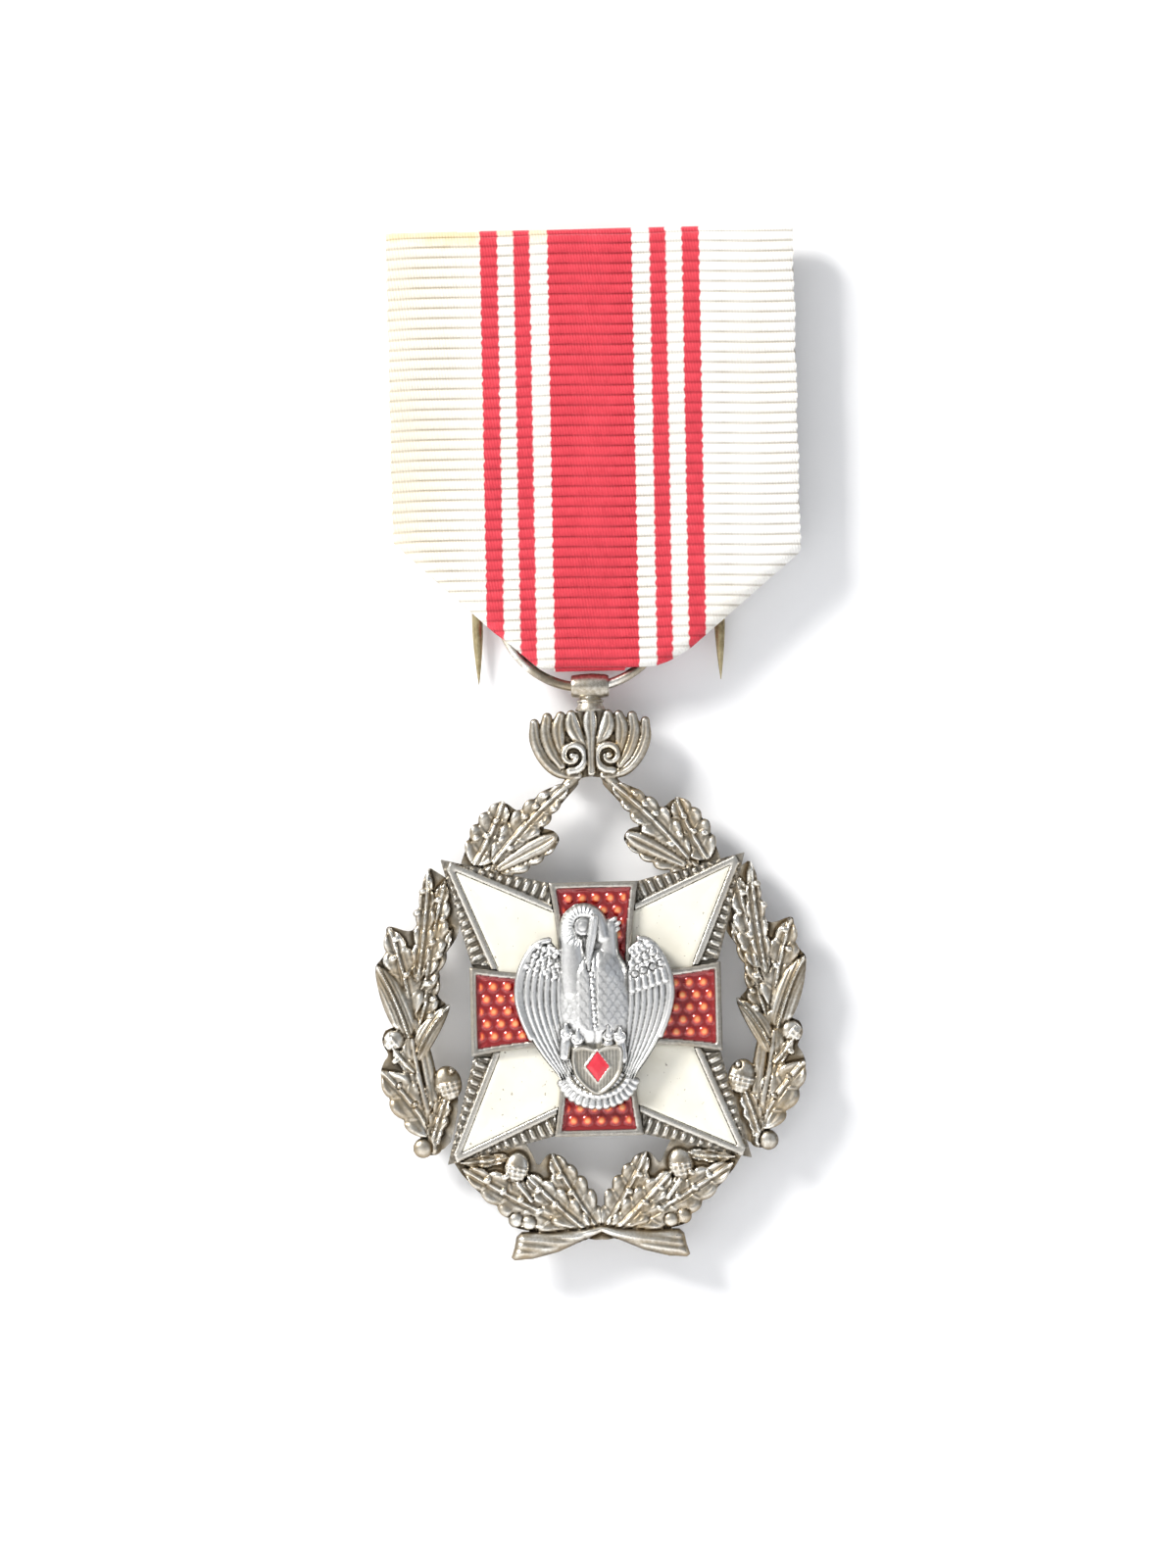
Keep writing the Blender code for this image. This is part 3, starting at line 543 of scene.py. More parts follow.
def ribbon_look():
    """Ribbed silk: red stripes on white, with the weave's threads, ragged borders and a few stains."""
    look = Look("ribbed_silk", Roughness=0.62, Sheen_Weight=0.25, Sheen_Roughness=0.4)
    at = look.place()
    x, z = look.axes(at)
    rib = look.times(z, 2.0 * math.pi / RIB_PITCH)
    jag = look.times(look.math("SINE", rib), 0.045)
    fray = look.centred(look.noise(2.0, 2.0, 0.5, at), 0.26)
    lean = look.times(z, -0.006)
    across = look.math("ABSOLUTE", look.plus(look.plus(x, lean), look.plus(jag, fray)))
    share = look.math("DIVIDE", look.math("SUBTRACT", across, 0.12), STRIPE_RAMP)
    stops = [(0.0, 1.0)]
    for k, edge in enumerate(STRIPE_EDGES):
        inner = float(k % 2 == 0)
        stops += [(edge / STRIPE_RAMP - 0.002, inner), (edge / STRIPE_RAMP + 0.002, 1.0 - inner)]
    red_share = look.ramp(share, *stops)

    warm = look.noise(0.12, 3.0, 0.5, at)
    white = look.ramp(warm, (0.35, (0.84, 0.815, 0.76)), (0.65, (0.87, 0.86, 0.835)))
    uneven = look.noise(0.8, 4.0, 0.6, at)
    red = look.ramp(uneven, (0.3, (0.60, 0.026, 0.048)), (0.7, (0.70, 0.040, 0.066)))

    # a tide mark along the top edge, left of the middle, and a faint yellowing of the left border
    blot = look.centred(look.noise(0.35, 4.0, 0.6, at), 6.0)
    height = look.plus(look.math("DIVIDE", look.plus(z, blot), 10.0), 0.5)
    width = look.plus(look.math("DIVIDE", x, 40.0), 0.5)
    top = look.ramp(height, (0.52, 0.0), (0.74, 1.0))
    side = look.ramp(width, (0.36, 1.0), (0.47, 0.0))
    mark = look.times(look.times(top, side), 0.85)
    left = look.ramp(width, (0.02, 0.42), (0.30, 0.0))
    white = look.mix(look.math("MAXIMUM", mark, left), white, (0.76, 0.62, 0.34, 1.0))
    cloth = look.mix(red_share, white, red)

    # painted shade: the grooves between the ribs are coloured darker
    groove = look.ramp(look.wear_and_shade(), (0.12, 0.0), (0.62, 1.0))
    shade = look.mix(red_share, (0.60, 0.56, 0.50, 1.0), (0.56, 0.34, 0.42, 1.0))
    shaded = look.mix(1.0, cloth, shade, "MULTIPLY")
    look.set("Base Color", look.mix(groove, shaded, cloth))

    # warp threads along z and their twist, set a step over at each rib
    thread = look.plus(look.times(x, 2.0 * math.pi / 0.27), look.times(rib, 0.5))
    twist = look.plus(look.times(x, 2.0 * math.pi / 0.5), look.times(rib, 3.0))
    weave = look.plus(look.math("SINE", thread), look.times(look.math("SINE", twist), 0.5))
    fuzz = look.times(look.noise(6.0, 3.0, 0.6, at), 1.6)
    look.bump(look.plus(weave, fuzz), 0.5, 0.03)
    look.roughness(look.noise(1.5, 3.0, 0.5, at), 0.2, 0.55)
    return look.material


def thread_look():
    """Twisted cotton."""
    look = Look("cotton_thread", Roughness=0.85, Sheen_Weight=0.3)
    at = look.place()
    x, z = look.axes(at)
    twist = look.math("SINE", look.times(look.plus(x, z), 26.0))
    uneven = look.noise(1.4, 3.0, 0.5, at)
    look.set("Base Color", look.ramp(uneven, (0.3, (0.70, 0.66, 0.57)), (0.7, (0.86, 0.84, 0.78))))
    look.bump(twist, 0.6, 0.04)
    return look.material


# ---------------------------------------------------------------- badge outlines

def from_centre(points, sx=1, sz=1):
    return [(CENTRE[0] + sx * x, CENTRE[1] + sz * z) for x, z in points]


def both_halves(right):
    """A closed outline from its right half, about the cross's middle."""
    return from_centre(right + [(-x, -z) for x, z in right])


def cross_outline():
    """A cross whose arms widen a little, in a curve, towards their ends."""
    steps = 8
    quarter = []
    for k in range(steps + 1):
        t = k / steps
        half = ARM_ROOT_HALF + (ARM_END_HALF - ARM_ROOT_HALF) * (1.0 - t) ** 2
        quarter.append((half, CROSS_HALF_HEIGHT + (ARM_ROOT_HALF - CROSS_HALF_HEIGHT) * t))
    for k in range(1, steps + 1):
        t = k / steps
        half = ARM_ROOT_HALF + (ARM_END_HALF - ARM_ROOT_HALF) * t ** 2
        quarter.append((ARM_ROOT_HALF + (CROSS_HALF_SPAN - ARM_ROOT_HALF) * t, half))
    return both_halves(quarter + [(x, -z) for x, z in quarter[::-1]])


def saltire_outline():
    right = [(0.0, 6.5), SALTIRE_TOP, SALTIRE_TIP, SALTIRE_SIDE, (7.5, 0.0)]
    return both_halves(right + [(x, -z) for x, z in (SALTIRE_SIDE, SALTIRE_TIP, SALTIRE_TOP)])


# ---------------------------------------------------------------- badge pieces

def make_saltire(silver, white):
    """The plate behind the cross, with its four fields of white enamel."""
    relief = Relief(-15.6, 15.2, -45.3, -14.6, 0.12)
    body = relief.within(saltire_outline())
    relief.put(body, BASE_FRONT - 0.12 * smooth_step(0.12, 0.0, body))
    corners = {(-1, 1): "upper_left", (1, 1): "upper_right", (-1, -1): "lower_left", (1, -1): "lower_right"}
    for sx, sz in sorted(corners):
        make_arm(relief, sx, sz)
    lower = relief.within(cross_outline())
    relief.height = np.where(lower > -0.05, np.minimum(relief.height, BASE_FRONT), relief.height)
    settle(relief.build("saltire_visual", BADGE_BACK), silver, "badge", "toned_silver", "saltire")

    for (sx, sz), name in corners.items():
        field = from_centre([(2.0, 2.0), (2.0, ENAMEL_TOP[1] - 0.5), ENAMEL_TOP, ENAMEL_TIP, ENAMEL_SIDE,
                             (ENAMEL_SIDE[0] - 0.5, 2.0)], sx, sz)
        x0, x1 = sorted((CENTRE[0] + sx * 2.0, CENTRE[0] + sx * 13.5))
        z0, z1 = sorted((CENTRE[1] + sz * 2.0, CENTRE[1] + sz * 13.6))
        enamel = Relief(x0 - 0.4, x1 + 0.4, z0 - 0.4, z1 + 0.4, 0.12)
        inside = np.minimum(enamel.within(field), -enamel.within(cross_outline()) + 0.1)
        sag = 0.09 * smooth_step(0.0, 1.6, inside) - 0.07 * smooth_step(0.0, 0.25, inside)
        enamel.put(inside, ENAMEL_FRONT - sag)
        piece = enamel.build("white_enamel_%s_visual" % name, BASE_FRONT - 0.02, wear_reach=3, wear_gain=0.0)
        settle(piece, white, "badge", "white_enamel", "white_enamel_" + name)


def beside(x, z, a, b):
    """How far along the line from a to b points lie, how far to its left, and the line's length."""
    ex, ez = b[0] - a[0], b[1] - a[1]
    length = math.hypot(ex, ez)
    along = ((x - a[0]) * ex + (z - a[1]) * ez) / length
    return along, (-(x - a[0]) * ez + (z - a[1]) * ex) / length, length


def make_arm(relief, sx, sz):
    """One arm's smooth inner rims and the reeded strips outside them."""
    x = (relief.x - CENTRE[0]) * sx
    z = (relief.z - CENTRE[1]) * sz
    rim_front = 0.85 * RIM_WIDTH
    body = relief.within(saltire_outline())
    for a, b, edge_a, edge_b in ((ENAMEL_TOP, ENAMEL_TIP, SALTIRE_TOP, SALTIRE_TIP),
                                 (ENAMEL_TIP, ENAMEL_SIDE, SALTIRE_TIP, SALTIRE_SIDE)):
        u, v, length = beside(x, z, a, b)
        strip = polygon(x, z, [a, b, edge_b, edge_a])
        rim = np.minimum(np.minimum(v, rim_front - v), np.minimum(u + 0.6, length + 0.9 - u))
        relief.put(np.minimum(rim, body), RIM_FRONT - 0.16 * smooth_step(0.16, 0.0, rim))
        # a thin border along the outer edge, and the reeds between it and the rim
        from_edge = -beside(x, z, edge_a, edge_b)[1]
        border = np.minimum(from_edge, 0.22 - from_edge)
        height = 0.42 - 0.15 * smooth_step(0.1, 0.0, border)
        relief.put(np.minimum(np.minimum(border + 0.02, strip), 0.3), height)
        room = np.minimum(v - rim_front, from_edge - 0.1)
        phase = (u / REED_PITCH) % 1.0 - 0.5
        reed = np.minimum(0.27 - np.abs(phase) * REED_PITCH, room)
        form = np.sqrt(np.clip(1.0 - (phase * REED_PITCH / 0.29) ** 2, 0.0, 1.0))
        form = form * np.sqrt(np.clip(room / 0.3, 0.0, 1.0))
        relief.put(np.minimum(reed, strip), BASE_FRONT + 0.35 + 0.36 * form)
        relief.put(np.minimum(strip, 0.3), np.full(x.shape, BASE_FRONT + 0.3))


def make_cross(grey, red):
    """The cross's raised frame and the red glass over its dotted bed."""
    relief = Relief(-12.6, 12.3, -42.5, -17.3, 0.12)
    d = relief.within(cross_outline())
    height = CROSS_FRONT - 0.13 * smooth_step(0.14, -0.02, np.minimum(d, FRAME_WIDTH - d))
    relief.put(d, np.where(d > FRAME_WIDTH, RED_BED - 0.25, height))
    piece = relief.build("cross_frame_visual", CROSS_BACK, wear_reach=2, wear_gain=1.5)
    settle(piece, grey, "badge", "toned_silver", "cross_frame")

    bed = Relief(-12.2, 11.9, -42.2, -17.7, 0.1)
    d = bed.within(cross_outline()) - FRAME_WIDTH + 0.02
    row = np.round((bed.z - DOT_START[1]) / DOT_ROW)
    off = (bed.x - DOT_START[0]) / DOT_PITCH + 0.5 * (row % 2)
    dot = np.hypot((off - np.round(off)) * DOT_PITCH, bed.z - DOT_START[1] - row * DOT_ROW)
    near = np.clip(1.0 - (dot / 0.5) ** 2, 0.0, 1.0) * smooth_step(0.1, 0.45, d)
    bed.put(d, RED_BED + 0.17 * np.sqrt(near) + 0.1 * smooth_step(0.3, 0.0, d))
    piece = bed.build("red_enamel_visual", RED_BED - 0.4, wear_reach=1, wear_gain=0.0)
    paint_wear(piece, near, bed)
    settle(piece, red, "badge", "red_enamel", "red_enamel")


def paint_wear(piece, values, relief):
    """Give the front of a piece the wear value of the nearest grid point."""
    places = np.zeros(len(piece.data.vertices) * 3, np.float32)
    piece.data.vertices.foreach_get("co", places)
    places = places.reshape(-1, 3) / MM
    c = np.round((places[:, 0] - EYELET[0] - relief.x[0, 0]) / relief.pitch).astype(int)
    r = np.round((places[:, 2] - EYELET[1] - relief.z[0, 0]) / relief.pitch).astype(int)
    c, r = np.clip(c, 0, relief.x.shape[1] - 1), np.clip(r, 0, relief.x.shape[0] - 1)
    piece.data.attributes["wear_and_shade"].data.foreach_set("value", values[r, c].astype(np.float32))


def scales(x, z, pitch_x, pitch_z):
    """Rows of overlapping rounded scales, from 0 at their upper ends to 1 at their lower rims."""
    best = np.zeros(x.shape)
    for shift in (0, 1):
        row = np.floor(z / pitch_z) + shift
        across = x / pitch_x + 0.5 * (row % 2)
        across = (across - np.round(across)) * pitch_x
        down = (row + 1.0) * pitch_z - z
        reach = 1.0 - np.hypot(across / (0.56 * pitch_x), np.clip(down, 0.0, None) / (1.5 * pitch_z))
        lip = smooth_step(0.0, 0.18, reach) * (0.35 + 0.65 * np.clip(down / (1.4 * pitch_z), 0.0, 1.0))
        best = np.maximum(best, np.where(reach > 0.0, lip, 0.0))
    return best


WING_OUTER = (
    (4.3, -23.4), (5.6, -23.9), (6.9, -25.9), (7.35, -28.5), (6.6, -31.4), (5.2, -33.9), (3.4, -36.3))
WING_INNER = (
    (3.5, -24.4), (3.4, -25.2), (3.1, -27.2), (3.1, -29.4), (2.9, -31.4), (2.6, -33.4), (2.3, -35.6))


def make_wing(relief, s):
    """A wing folded down round the body, as long parallel feathers under rows of small ones."""
    k = 1.0 if s < 0 else 0.95
    outer = curve([(s * x * k, z) for x, z in WING_OUTER], 8)
    inner = curve([(s * x * k, z) for x, z in WING_INNER], 8)

    def spot(j, share):
        x, z = inner[j] + (outer[j] - inner[j]) * share
        return x - 0.1, z

    def feather(rows, share, count, fullness):
        return [(*spot(j, share), fullness * (np.hypot(*(outer[j] - inner[j])) / count)) for j in rows]

    d = relief.within([(x - 0.1, z) for x, z in np.vstack([outer, inner[::-1]])])
    relief.put(d + 0.1, BIRD_BACK + 0.45 + 0.5 * np.sqrt(np.clip(d / 2.2, 0.0, 1.0)))
    count = 7
    for i in range(count):
        share = (i + 0.5) / count
        route = feather(range(6, len(outer), 5), share, count, 0.53)
        x, z, width = route[-1]
        route.append((x - s * 0.35, z - 0.55 - 0.35 * share, 0.5 * width))
        relief.stroke(route, BIRD_BACK + 0.66 + 0.3 * (1 - abs(share - 0.5)), 0.34, steps=3)
    # the second tier ends in scallops half way down, on the open wing
    tier = count - 0.6
    for i in range(count - 1 if s > 0 else 0):
        share = (i + 0.6) / tier
        route = feather(range(4, 21, 4), share, tier, 0.54)
        relief.stroke(route, BIRD_BACK + 0.95 + 0.25 * (1 - abs(share - 0.5)), 0.4, steps=3)
    # small feathers of the shoulder
    size = 0.4 if s > 0 else 0.3
    for row in range(4):
        for i in range(4 if row else 3):
            x, z = spot(3 + row * 4, (i + (0.75 if row % 2 else 0.4)) / 4.2)
            relief.dome(x, z, size, size, BIRD_BACK + 1.25 - 0.06 * row, 0.25, groove=0.08)
    relief.stroke([(x - 0.1, z, 0.3) for x, z in outer[0:40:5]], BIRD_BACK + 0.9, 0.35, steps=3)


def make_nest(relief):
    """A fan of wide rays under a beaded rim."""
    for k in range(15):
        angle = math.radians(194.0 + 152.0 * k / 14)
        c, s = math.cos(angle), math.sin(angle)
        relief.stroke([(-0.1 + 1.6 * c, -35.2 + 1.5 * s, 0.2), (-0.1 + 3.55 * c, -36.0 + 2.85 * s, 0.42)],
                      BIRD_BACK + 0.35, 0.5, steps=1)
    angles = [math.radians(a) for a in range(180, 361, 20)]
    rim = [(-0.1 + 2.9 * math.cos(a), -35.4 + 2.5 * math.sin(a), 0.33) for a in angles]
    relief.stroke(rim, BIRD_BACK + 0.8, 0.3, steps=2, beads=0.55)


def make_body(relief):
    """A ridge that is steeper on the right, with fine scales and a line of tufts down the breast."""
    x, z = relief.x, relief.z
    outline = [(-2.2, -24.4), (-3.1, -25.4), (-3.75, -27.0), (-3.95, -29.2), (-3.6, -31.6), (-2.4, -33.2),
               (-0.2, -33.8), (2.0, -33.2), (3.0, -31.5), (3.3, -29.0), (3.0, -26.5), (2.3, -25.0),
               (1.6, -24.2), (-0.3, -24.0)]
    d = relief.within(rounded(outline, 4))
    middle = x + 0.45 - 0.04 * (z + 29.0)
    slope = np.where(middle < 0.0, 1.0 + middle / 3.9, 1.0 - middle / 4.3)
    bulge = np.sqrt(np.clip(d / 1.9, 0.0, 1.0))
    chest = 0.25 + 0.75 * np.clip(slope, 0.0, 1.0) ** 0.8
    height = BIRD_BACK + 0.5 + 1.5 * np.minimum(bulge, 1.25 * chest) * chest ** 0.4
    height += 0.06 * scales(x + 0.2, -z, 0.8, 0.55) * smooth_step(0.0, 0.7, d)
    height -= 0.12 * np.exp(-((middle - 0.28) / 0.12) ** 2) * smooth_step(0.0, 1.0, d)
    relief.put(d, height)
    for k in range(9):
        relief.dome(-0.5 + 0.03 * k, -26.6 - 0.62 * k, 0.27, 0.38, BIRD_BACK + 1.75, 0.3, groove=0.05)


def make_neck(relief):
    """The neck goes up the left side, over and down into the breast, with the head in its bend."""
    x, z = relief.x, relief.z
    bib = [(-3.3, -22.6), (-3.0, -21.0), (-1.9, -20.1), (-0.6, -20.1), (0.5, -20.9), (1.1, -22.0),
           (1.9, -25.4), (-3.2, -25.6)]
    relief.put(relief.within(bib), np.full(x.shape, BIRD_BACK + 1.0))
    left = [(-2.0, -28.2, 1.3), (-2.1, -26.4, 1.35), (-2.2, -25.0, 1.25), (-2.3, -23.8, 1.1)]
    relief.stroke(left, BIRD_BACK + 0.85, 0.95, steps=5)
    right = [(1.3, -28.2, 1.2), (1.15, -26.4, 1.2), (1.1, -24.8, 1.0), (1.15, -23.2, 0.85),
             (1.25, -22.3, 0.7)]
    relief.stroke(right, BIRD_BACK + 0.65, 0.7, steps=5)
    for tip, low in (((2.15, -21.9), (1.2, -22.5)), ((2.05, -22.45), (1.3, -23.0)),
                     ((1.8, -21.5), (1.0, -22.0))):
        relief.stroke([(*low, 0.34), (*tip, 0.2)], BIRD_BACK + 0.8, 0.3, steps=1)
    neck = [(-2.35, -24.2, 1.0), (-2.5, -23.0, 0.98), (-2.3, -21.8, 0.98), (-1.7, -21.15, 0.95),
            (-0.95, -20.95, 0.92), (-0.2, -21.3, 0.92), (0.3, -22.1, 0.85), (0.6, -23.2, 0.75)]
    relief.stroke(neck, BIRD_BACK + 0.8, 0.85, steps=5)
    hx, hz = HEAD
    ring = np.hypot(x - hx, z - hz)
    comb = np.cos(np.arctan2(z - hz, x - hx) * 26.0)
    collar = smooth_step(0.85, 1.3, ring) * smooth_step(2.3, 1.7, ring) * smooth_step(0.3, -0.6, x)
    relief.height = relief.height + 0.06 * comb * collar
    relief.dome(hx, hz, 0.88, 0.9, BIRD_BACK + 1.25, 0.3, groove=0.12)
    relief.dome(hx, hz, 0.5, 0.52, BIRD_BACK + 1.35, 0.14, groove=0.06)
    beak = [(-0.15, -21.5, 0.42), (-0.28, -22.4, 0.44), (-0.5, -23.6, 0.42), (-0.7, -24.9, 0.34),
            (-0.75, -26.2, 0.2)]
    relief.stroke(beak, BIRD_BACK + 1.45, 0.45, over=True, groove=0.06, steps=5)


def make_young(relief):
    """Heads raised at both sides of the breast."""
    for cx, cz, lean in ((-2.95, -32.1, -0.2), (-1.95, -32.6, 0.1), (0.95, -32.3, -0.1), (1.95, -32.5, 0.2)):
        body = [(cx + lean, cz - 2.0, 0.5), (cx + 0.4 * lean, cz - 1.0, 0.55), (cx, cz - 0.2, 0.55)]
        relief.stroke(body, BIRD_BACK + 1.15, 0.55, over=True, groove=0.04, steps=3)
        relief.dome(cx, cz, 0.62, 0.6, BIRD_BACK + 1.5, 0.4, groove=0.03)
        beak = [(cx, cz + 0.1, 0.36), (cx + 0.35 * lean, cz + 0.85, 0.16)]
        relief.stroke(beak, BIRD_BACK + 1.6, 0.3, over=True, groove=0.03, steps=1)


def make_bird(bright):
    relief = Relief(-8.6, 8.2, -40.0, -19.3, 0.075)
    make_nest(relief)
    make_wing(relief, -1)
    make_wing(relief, 1)
    make_body(relief)
    make_neck(relief)
    make_young(relief)
    piece = relief.build("pelican_visual", BIRD_BACK)
    settle(piece, bright, "badge", "bright_silver", "pelican")


def make_shield(dim, red):
    """The small shield before the nest, with a raised rim, and its red lozenge."""
    shield = [(-2.5, -33.35), (-1.3, -33.15), (-0.15, -33.45), (1.0, -33.15), (2.2, -33.35), (2.25, -34.8),
              (1.9, -36.1), (1.0, -37.2), (-0.15, -37.85), (-1.3, -37.2), (-2.2, -36.1), (-2.55, -34.8)]
    lozenge = [(-0.15, -33.72), (0.92, -35.15), (-0.15, -36.58), (-1.22, -35.15)]
    small = Relief(-3.0, 2.7, -38.3, -32.8, 0.075)
    d = small.within(rounded(shield, 3))
    lip = np.exp(-((d - 0.22) / 0.13) ** 2)
    face = SHIELD_BACK + 0.42 + 0.16 * lip - 0.12 * smooth_step(0.1, 0.0, d)
    face += 0.1 * np.sqrt(np.clip(d / 2.3, 0.0, 1.0))
    lines = 0.02 * np.cos(small.x / 0.3 * 2.0 * math.pi) * smooth_step(0.35, 0.5, d)
    seat = small.within(lozenge)
    face = face + lines * (seat < -0.1) + 0.1 * np.exp(-((seat + 0.06) / 0.12) ** 2)
    small.put(d, np.where(seat > 0.02, SHIELD_BACK + 0.3, face))
    piece = small.build("nest_shield_visual", SHIELD_BACK - 0.4)
    settle(piece, dim, "badge", "bright_silver", "nest_shield")

    gem = Relief(-1.6, 1.3, -36.9, -33.4, 0.06)
    d = gem.within(lozenge)
    gem.put(d, SHIELD_BACK + 0.52 + 0.07 * smooth_step(0.0, 0.5, d))
    piece = gem.build("shield_enamel_visual", SHIELD_BACK + 0.25, wear_gain=0.0)
    paint_wear(piece, 0.5 + 0.12 * smooth_step(0.2, 0.7, d), gem)
    settle(piece, red, "badge", "red_enamel", "shield_enamel")


def make_rivets(toned):
    """Two domed rivet heads on the back, which hold the bird."""
    for name, z in (("rivet_upper", -26.6), ("rivet_lower", -33.2)):
        low = BADGE_BACK - 0.75
        profile = [(low, 0.0), (low + 0.03, 0.35), (low + 0.12, 0.68), (low + 0.28, 0.93), (low + 0.42, 1.0),
                   (low + 0.45, 0.98), (low + 0.45, 0.55), (1.55, 0.55), (1.55, 0.0)]
        made = lathe(name + "_visual", profile, (-0.15, z, 0.0), "Y", EYELET, 32)
        settle(made, toned, "badge", "toned_silver", name)


# ---------------------------------------------------------------- wreath

# leaves as (tip, base, half width, lobes, bow)
TOP_LEAVES = (
    ((-5.4, -13.4), (-10.3, -17.0), 1.2, 3, 0.1), ((-8.3, -10.4), (-11.2, -16.3), 1.9, 4, -0.2),
    ((-3.3, -14.3), (-9.6, -17.2), 1.45, 4, 0.25), ((-2.1, -8.85), (-9.4, -16.2), 1.6, 6, 0.3))
SIDE_LEAVES = (
    ((-14.9, -26.0), (-16.9, -32.1), 1.2, 3, 0.1), ((-13.4, -22.2), (-17.1, -29.4), 1.1, 4, 0.2),
    ((-19.2, -21.9), (-17.3, -30.2), 1.75, 4, -0.2), ((-13.9, -17.6), (-15.9, -26.5), 1.35, 5, 0.1),
    ((-15.4, -16.5), (-16.7, -27.0), 0.95, 6, -0.15), ((-20.4, -25.4), (-17.6, -32.2), 1.25, 0, -0.2),
    ((-13.8, -29.2), (-17.2, -34.4), 0.95, 0, 0.3), ((-20.2, -35.2), (-15.6, -41.3), 1.95, 3, -0.3))
LOW_LEAVES = (
    ((-13.2, -43.95), (-8.6, -43.5), 0.65, 3, 0.1), ((-4.6, -43.3), (-0.5, -50.4), 1.75, 5, 0.2),
    ((-12.9, -44.5), (-0.9, -50.9), 2.1, 6, 0.3), ((-7.1, -45.1), (-1.35, -50.7), 1.5, 5, 0.1))
LEAF_STEP = 0.05                  # how much higher each leaf lies than the one before

# the outlines of the plain metal that the left leaves lie on
TOP_GROUND = (
    (-1.4, -8.2), (-2.4, -8.8), (-4.5, -9.5), (-6.0, -10.8), (-6.9, -11.4), (-8.3, -10.5), (-9.5, -11.2),
    (-11.1, -12.9), (-12.0, -15.0), (-12.3, -17.2), (-8.3, -17.4), (-5.5, -15.8), (-4.0, -15.0),
    (-3.2, -14.2), (-3.7, -13.3), (-5.0, -12.9), (-4.4, -12.2), (-3.3, -11.2), (-2.2, -10.0), (-1.3, -9.0))
SIDE_GROUND = (
    (-15.2, -16.5), (-15.9, -17.8), (-16.2, -19.8), (-16.6, -21.6), (-17.4, -22.3), (-19.2, -21.8),
    (-19.5, -22.4), (-19.3, -23.6), (-20.0, -24.8), (-20.6, -25.6), (-20.4, -27.2), (-19.6, -29.2),
    (-18.6, -30.9), (-19.8, -31.5), (-20.1, -32.6), (-19.6, -33.7), (-20.0, -34.4), (-20.3, -35.4),
    (-20.0, -37.0), (-18.6, -38.9), (-17.1, -40.0), (-16.5, -41.0), (-15.9, -42.8), (-14.0, -42.0),
    (-13.2, -38.0), (-13.9, -36.8), (-15.2, -37.0), (-15.9, -35.0), (-15.9, -32.6), (-15.1, -31.0),
    (-14.1, -29.4), (-14.7, -28.6), (-14.9, -27.9), (-14.6, -26.5), (-14.9, -25.4), (-13.6, -23.9),
    (-12.8, -22.5), (-12.6, -20.0), (-13.2, -18.0))
LOW_GROUND = (
    (-13.9, -43.6), (-13.1, -44.9), (-12.4, -45.7), (-11.6, -46.6), (-9.6, -48.2), (-8.4, -48.7),
    (-8.7, -49.6), (-7.9, -50.2), (-6.2, -50.5), (-4.0, -50.9), (0.6, -51.4), (0.6, -49.4), (-0.9, -48.4),
    (-2.0, -46.9), (-3.0, -45.1), (-4.4, -43.4), (-5.2, -43.6), (-5.9, -44.4), (-6.5, -43.2), (-7.4, -42.0),
    (-9.2, -42.4), (-11.6, -43.0))


class Side:
    """Draws on a relief at the left, or mirrored at the right with distances times reach."""

    def __init__(self, relief, side, reach):
        self.relief, self.side, self.reach = relief, side, reach

    def x(self, x):
        return x if self.side < 0 else 2.0 * CENTRE[0] - x * self.reach

    def leaves(self, group, lift=0.0):
        for k, (tip, base, half, lobes, bow) in enumerate(group):
            self.relief.leaf((self.x(tip[0]), tip[1]), (self.x(base[0]), base[1]), half, lobes,
                             -bow * self.side, lift + LEAF_STEP * k)

    def stroke(self, points, base, rise, **settings):
        self.relief.stroke([(self.x(x), z, w) for x, z, w in points], base, rise, **settings)

    def dome(self, x, z, *sizes, turn=0.0, **settings):
        self.relief.dome(self.x(x), z, *sizes, turn=-turn * self.side, **settings)

    def ground(self, outline):
        """The plain metal between the leaves, a little uneven."""
        x, z = self.relief.x, self.relief.z
        inside = self.relief.within([(self.x(px), pz) for px, pz in rounded(outline, 3)])
        self.relief.put(inside, 0.2 + 0.05 * np.sin(x * 2.9 + z) * np.sin(z * 2.3 - x))

    def horn(self, outline):
        """The cut stem at the foot of a spray: a broad smooth tongue with a soft ridge."""
        x, z = self.relief.x, self.relief.z
        d = self.relief.within([(self.x(px), pz) for px, pz in outline])
        form = np.sqrt(np.clip(d / 0.85, 0.0, 1.0) * (2.0 - np.clip(d / 0.85, 0.0, 1.0)))
        lines = 0.04 * np.sin(z * 9.0 + x * 1.3) * smooth_step(0.1, 0.4, d)
        self.relief.put(d, 0.2 + 0.75 * form + lines, over=True, groove=0.2)

    def dabs(self, places, size):
        for x, z in places:
            self.dome(x, z, size, size * 0.75, 0.78, 0.3, turn=0.6, groove=0.0)


